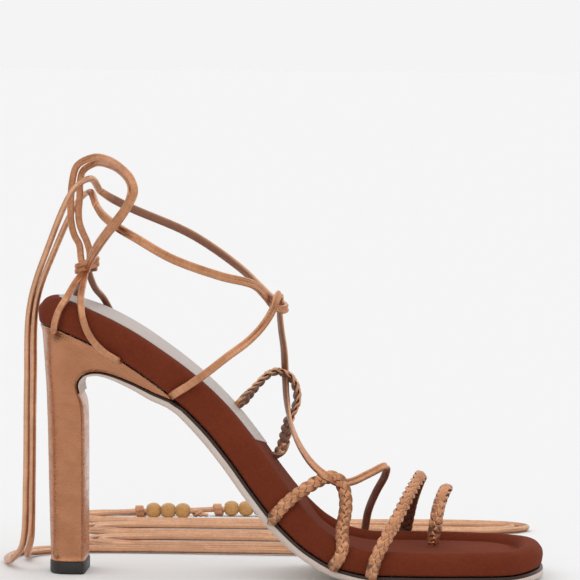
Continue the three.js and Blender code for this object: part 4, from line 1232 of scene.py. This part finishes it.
# %% The ties' points
TIE_LATERAL = [
  [12, -13.8, 155.3], [8, 0, 160.2], [1.5, 11, 155], [-8, 13, 135], [-15.6, 13, 113],
  [-16.8, 13, 80], [-17.2, 13.5, 40], [-18, 16, 12], [-20.5, 25, 3.6], [-20, 40, 2],
  [-6, 52.5, 1.6], [85, 56, 1.6], [180, 53, 1.6], [193.8, 66.8, 1.6], [180, 80.5, 1.6],
  [94, 77.5, 1.6], [12, 80.5, 1.6], [4.8, 87.8, 1.6], [12, 95, 1.6], [95, 98, 1.6],
  [174, 95, 1.6], [187.8, 108.8, 1.6], [174, 122.5, 1.6], [94, 119.5, 1.6], [6, 122.5, 1.6],
  [-1.2, 129.8, 1.6], [6, 137, 1.6], [95, 140, 1.6], [182, 137, 1.6], [195.8, 150.8, 1.6],
  [182, 164.5, 1.6], [88, 161.5, 1.6], [-6, 164.5, 1.6], [-13.2, 171.8, 1.6], [-6, 179, 1.6],
  [2, 180, 2.4], [12, 180, 3.1],
]
TIE_MEDIAL = [
  [10.7, 16.3, 160.2], [8, 0, 165.8], [1.8, -11, 161], [-8, -12, 138], [-15.6, -12, 113.5],
  [-16.8, -12, 80], [-17.2, -11, 40], [-19, -6, 12], [-25, 5, 3.6], [-29, 26, 2],
  [-22, 50, 1.6], [-4, 59, 1.6], [85, 62.5, 1.6], [180, 59.5, 1.6], [187.2, 66.8, 1.6],
  [180, 74, 1.6], [94, 71, 1.6], [12, 74, 1.6], [-1.8, 87.8, 1.6], [12, 101.5, 1.6],
  [95, 104.5, 1.6], [174, 101.5, 1.6], [181.2, 108.8, 1.6], [174, 116, 1.6], [94, 113, 1.6],
  [6, 116, 1.6], [-7.8, 129.8, 1.6], [6, 143.5, 1.6], [95, 146.5, 1.6], [182, 143.5, 1.6],
  [189.2, 150.8, 1.6], [182, 158, 1.6], [88, 155, 1.6], [-6, 158, 1.6], [-19.8, 171.8, 1.6],
  [-6, 185.5, 1.6], [18, 189, 1.6], [36, 190.4, 2.4], [48, 191, 3.1],
]
print("points:", len(TIE_LATERAL), "and", len(TIE_MEDIAL))

# %% [markdown]
# Each tie ends in a row: a strip wound round the cord, three turned beads, and an overhand knot
# with a cut stub. They are made in the heading in which the cord runs out.

# %% Beads, wound strips and knots
TIE_WIDTH, TIE_THICKNESS = 3.1, 2.5
WRAP_LENGTH, WRAP_DIAMETER = 5.5, 6.0
WOUND_WIDTH = 2.3
BEAD_LENGTH, BEAD_DIAMETER = 6.6, 7.3
BORE_RADIUS = 1.55
END_KNOT_LENGTH, END_KNOT_DIAMETER = 6.5, 5.0
UP = np.array([0, 0, 1.0])


def left_of(heading):
    """A level direction square to the heading."""
    return np.array([-heading[1], heading[0], 0])


def bead(middle, heading):
    """A turned bead: radius R cos(a)^0.8 over its outside, and a straight bore back through it,
    all turned round a line along the heading."""
    outer = np.radians(np.linspace(-64, 64, 22))
    x = np.concatenate([BEAD_LENGTH / 2 * np.sin(outer) / np.sin(outer[-1]),
                        np.linspace(0.4, -0.4, 6) * BEAD_LENGTH])
    r = np.concatenate([BEAD_DIAMETER / 2 * np.cos(outer) ** 0.8, np.full(6, BORE_RADIUS)])
    t = np.linspace(0, 2 * np.pi, 28, endpoint=False)
    spoke = np.cos(t)[None, :, None] * left_of(heading) + np.sin(t)[None, :, None] * UP
    points = middle + x[:, None, None] * heading + r[:, None, None] * spoke
    return grid(points, wrap_along=True)


def wound_strip(middle, heading, length, radius, turns):
    """A strip wound round the cord as a short helix."""
    t = np.linspace(0, 2 * np.pi * turns, int(50 * turns))
    round_out = np.cos(t)[:, None] * left_of(heading) + np.sin(t)[:, None] * UP
    x = (t / t[-1] - 0.5) * length
    route = middle + heading * x[:, None] + round_out * radius
    section = oblong(WOUND_WIDTH, 1.2, 16, 2.6, groove=0.15)
    return sweep(route, round_out, section, **strap_marks(section))


def tied_end(middle, heading, length, diameter):
    """A small overhand knot, x = sin t + 2 sin 2t and y = cos t - 2 cos 2t, and a cut stub."""
    t = np.linspace(0, 2 * np.pi, 90)
    size = diameter / 2 / 3.4
    route = (
        middle
        + heading * ((np.sin(t) + 2 * np.sin(2 * t)) * size)[:, None]
        + left_of(heading) * ((np.cos(t) - 2 * np.cos(2 * t)) * size)[:, None]
        + UP * (-np.sin(3 * t) * size * 1.1)[:, None]
    )
    section = oblong(2.2, 1.6, 14, 2.4)
    knot = sweep(route, np.array([0.2, 0.1, 1.0]), section, **strap_marks(section))
    stub_section = oblong(2.6, 1.7, 16, 2.6, groove=0.2)
    stub_at = middle + heading * np.linspace(0, length * 0.72, 12)[:, None]
    stub_at[:, 2] -= np.linspace(0, 0.8, 12)
    stub = sweep(stub_at, UP, stub_section, **strap_marks(stub_section))
    return together(knot, stub)


print("bead", BEAD_LENGTH, "by", BEAD_DIAMETER, "mm, end knot", END_KNOT_LENGTH, "mm")

# %% Two ties
TIE_FACING = np.array([-0.6, 0.2, 0.77])


def make_tie(side, points):
    """The tie with what is threaded on it: a wound strip, three beads and the end knot. Each piece
    follows the last one after a small gap and rests on the floor, and the cord runs through all."""
    free = smooth_route(points, 14)
    heading = unit((free[-1] - free[-2]) * [1, 1, 0])
    reach = SEAM_GAP

    def next_place(length, diameter):
        nonlocal reach
        place = free[-1] + heading * (reach + length / 2)
        place[2] = diameter / 2 + 0.05
        reach += length + SEAM_GAP
        return place

    place = next_place(WRAP_LENGTH, WRAP_DIAMETER)
    strip = wound_strip(place, heading, WRAP_LENGTH - WOUND_WIDTH, WRAP_DIAMETER / 2 - 0.65, 1.9)
    piece(f"wound_strip_{side}", strip, [bronze_cord], [f"wrap_knot_{side}"])
    for number in (1, 2, 3):
        place = next_place(BEAD_LENGTH, BEAD_DIAMETER)
        piece(f"wooden_bead_{number}_{side}", bead(place, heading), [bead_wood],
                              [f"bead_{number}_{side}"])
    place = next_place(END_KNOT_LENGTH, END_KNOT_DIAMETER)
    knot = tied_end(place, heading, END_KNOT_LENGTH, END_KNOT_DIAMETER)
    piece(f"tied_end_{side}", knot, [bronze_cord], [f"end_knot_{side}"])
    through = free[-1] + heading * np.linspace(1.5, reach - END_KNOT_LENGTH / 2, 20)[:, None]
    through[:, 2] = free[-1, 2] + (BEAD_DIAMETER / 2 - free[-1, 2]) * np.linspace(0.1, 1, 20)
    path = np.vstack([free, through])
    section = oblong(TIE_WIDTH, TIE_THICKNESS, 14, 2.4, groove=0.2)
    marks = strap_marks(section) | {"inner": 0 * section[:, 0]}
    shape = sweep(path, TIE_FACING, section, **marks)
    cord = piece(f"tie_cord_{side}", shape, [bronze_cord], [f"tie_{side}"])
    length = distances(path)[-1]
    print(f"tie {side}: {length:.0f} mm")


make_tie("lateral", TIE_LATERAL)
make_tie("medial", TIE_MEDIAL)

# %% [markdown]
# The photograph was taken from the shoe's outer side, slightly in front of square and a little
# above it, with a long lens. The camera stands on a sphere round a point in the shoe, and is
# rolled by half a degree, as the photograph is.

# %% Camera


def aimed_camera(azimuth, elevation, distance, focal_pixels, target, roll, width=580, sensor=36.0):
    """A camera on a sphere round the target, turned about its own axis by the roll."""
    a, e, r = (math.radians(v) for v in (azimuth, elevation, roll))
    back = np.array([math.sin(a) * math.cos(e), -math.cos(a) * math.cos(e), math.sin(e)])
    right = np.array([math.cos(a), math.sin(a), 0])
    up = np.cross(back, right)
    right, up = math.cos(r) * right + math.sin(r) * up, -math.sin(r) * right + math.cos(r) * up
    place = (np.array(target) + back * distance) * MM
    camera = bpy.data.objects.new("camera", bpy.data.cameras.new("camera"))
    rows = [[right[k], up[k], back[k], place[k]] for k in range(3)] + [[0, 0, 0, 1]]
    camera.matrix_world = Matrix([[float(v) for v in row] for row in rows])
    camera.data.sensor_width = sensor
    camera.data.lens = focal_pixels / width * sensor
    bpy.context.scene.collection.objects.link(camera)
    bpy.context.scene.camera = camera
    print("lens", round(camera.data.lens, 1))


aimed_camera(azimuth=2.5, elevation=3.7, distance=1600, focal_pixels=3808,
             target=(92.6, 0, 119.8), roll=0.45)

# %% [markdown]
# A pale, quite dull floor takes the soft shadows. It is staging, so it isn't part of the shoe.

# %% Floor
FLOOR_REACH = 30.0


def make_floor():
    """One square of 60 metres."""
    mesh = bpy.data.meshes.new("floor")
    corners = [(x * FLOOR_REACH, y * FLOOR_REACH, 0) for x, y in ((-1, -1), (1, -1), (1, 1), (-1, 1))]
    mesh.from_pydata(corners, [], [(0, 1, 2, 3)])
    floor = bpy.data.objects.new("floor", mesh)
    bpy.context.scene.collection.objects.link(floor)
    pale = bpy.data.materials.new("pale floor")
    pale.use_nodes = True
    shader = pale.node_tree.nodes["Principled BSDF"]
    shader.inputs["Base Color"].default_value = (0.86, 0.86, 0.86, 1)
    shader.inputs["Roughness"].default_value = 1.0
    shader.inputs["Specular IOR Level"].default_value = 0.0
    mesh.materials.append(pale)


make_floor()
print("floor:", 2 * FLOOR_REACH, "m square")

# %% [markdown]
# The room lights the shoe. Foil leather shows what it mirrors, so the room is bright above, behind
# the shoe and at the camera's side, and dark in a band between, which draws the foil's edges. What
# the camera itself sees is one even pale tone.

# %% Room
# how far from the camera's side to the far side, brightness
ROOM_RING = [(0.0, 0.85), (0.16, 0.9), (0.34, 0.2), (0.5, 0.22), (0.62, 1.0), (1.0, 1.0)]
CEILING_LIGHT, BACKDROP = 1.21, 0.905


def make_room():
    """brightness = ring(y) * (1 - up) + ceiling * up, where up rises from 0 to 1 overhead."""
    world = bpy.data.worlds.new("studio")
    bpy.context.scene.world = world
    world.use_nodes = True
    tree = world.node_tree
    sky = tree.nodes["Background"]
    way = tree.nodes.new("ShaderNodeTexCoord").outputs["Generated"]
    split = add(tree, "ShaderNodeSeparateXYZ", Vector=way)
    depth = add(tree, "ShaderNodeMapRange", Value=split.outputs["Y"], From_Min=-1.0, From_Max=1.0)
    ring = add(tree, "ShaderNodeValToRGB", Fac=depth.outputs[0])
    stops = ring.color_ramp.elements
    for place, _ in ROOM_RING[1:-1]:
        stops.new(place)
    for stop, (_, level) in zip(stops, ROOM_RING):
        stop.color = (level, level, level, 1)
    above = add(tree, "ShaderNodeMapRange", {"interpolation_type": "SMOOTHSTEP"},
                Value=split.outputs["Z"], From_Min=0.35, From_Max=0.8)
    light = add(tree, "ShaderNodeMix", {"data_type": "FLOAT"}, _0=above.outputs[0],
                _2=ring.outputs[0], _3=CEILING_LIGHT)
    seen = add(tree, "ShaderNodeLightPath").outputs["Is Camera Ray"]
    plain = add(tree, "ShaderNodeMix", {"data_type": "FLOAT"}, _0=seen, _2=light.outputs[0],
                _3=BACKDROP)
    sky.inputs["Color"].default_value = (1, 1, 1, 1)
    tree.links.new(plain.outputs[0], sky.inputs["Strength"])


make_room()
bpy.context.scene.view_settings.view_transform = "Standard"
print("room:", ROOM_RING)
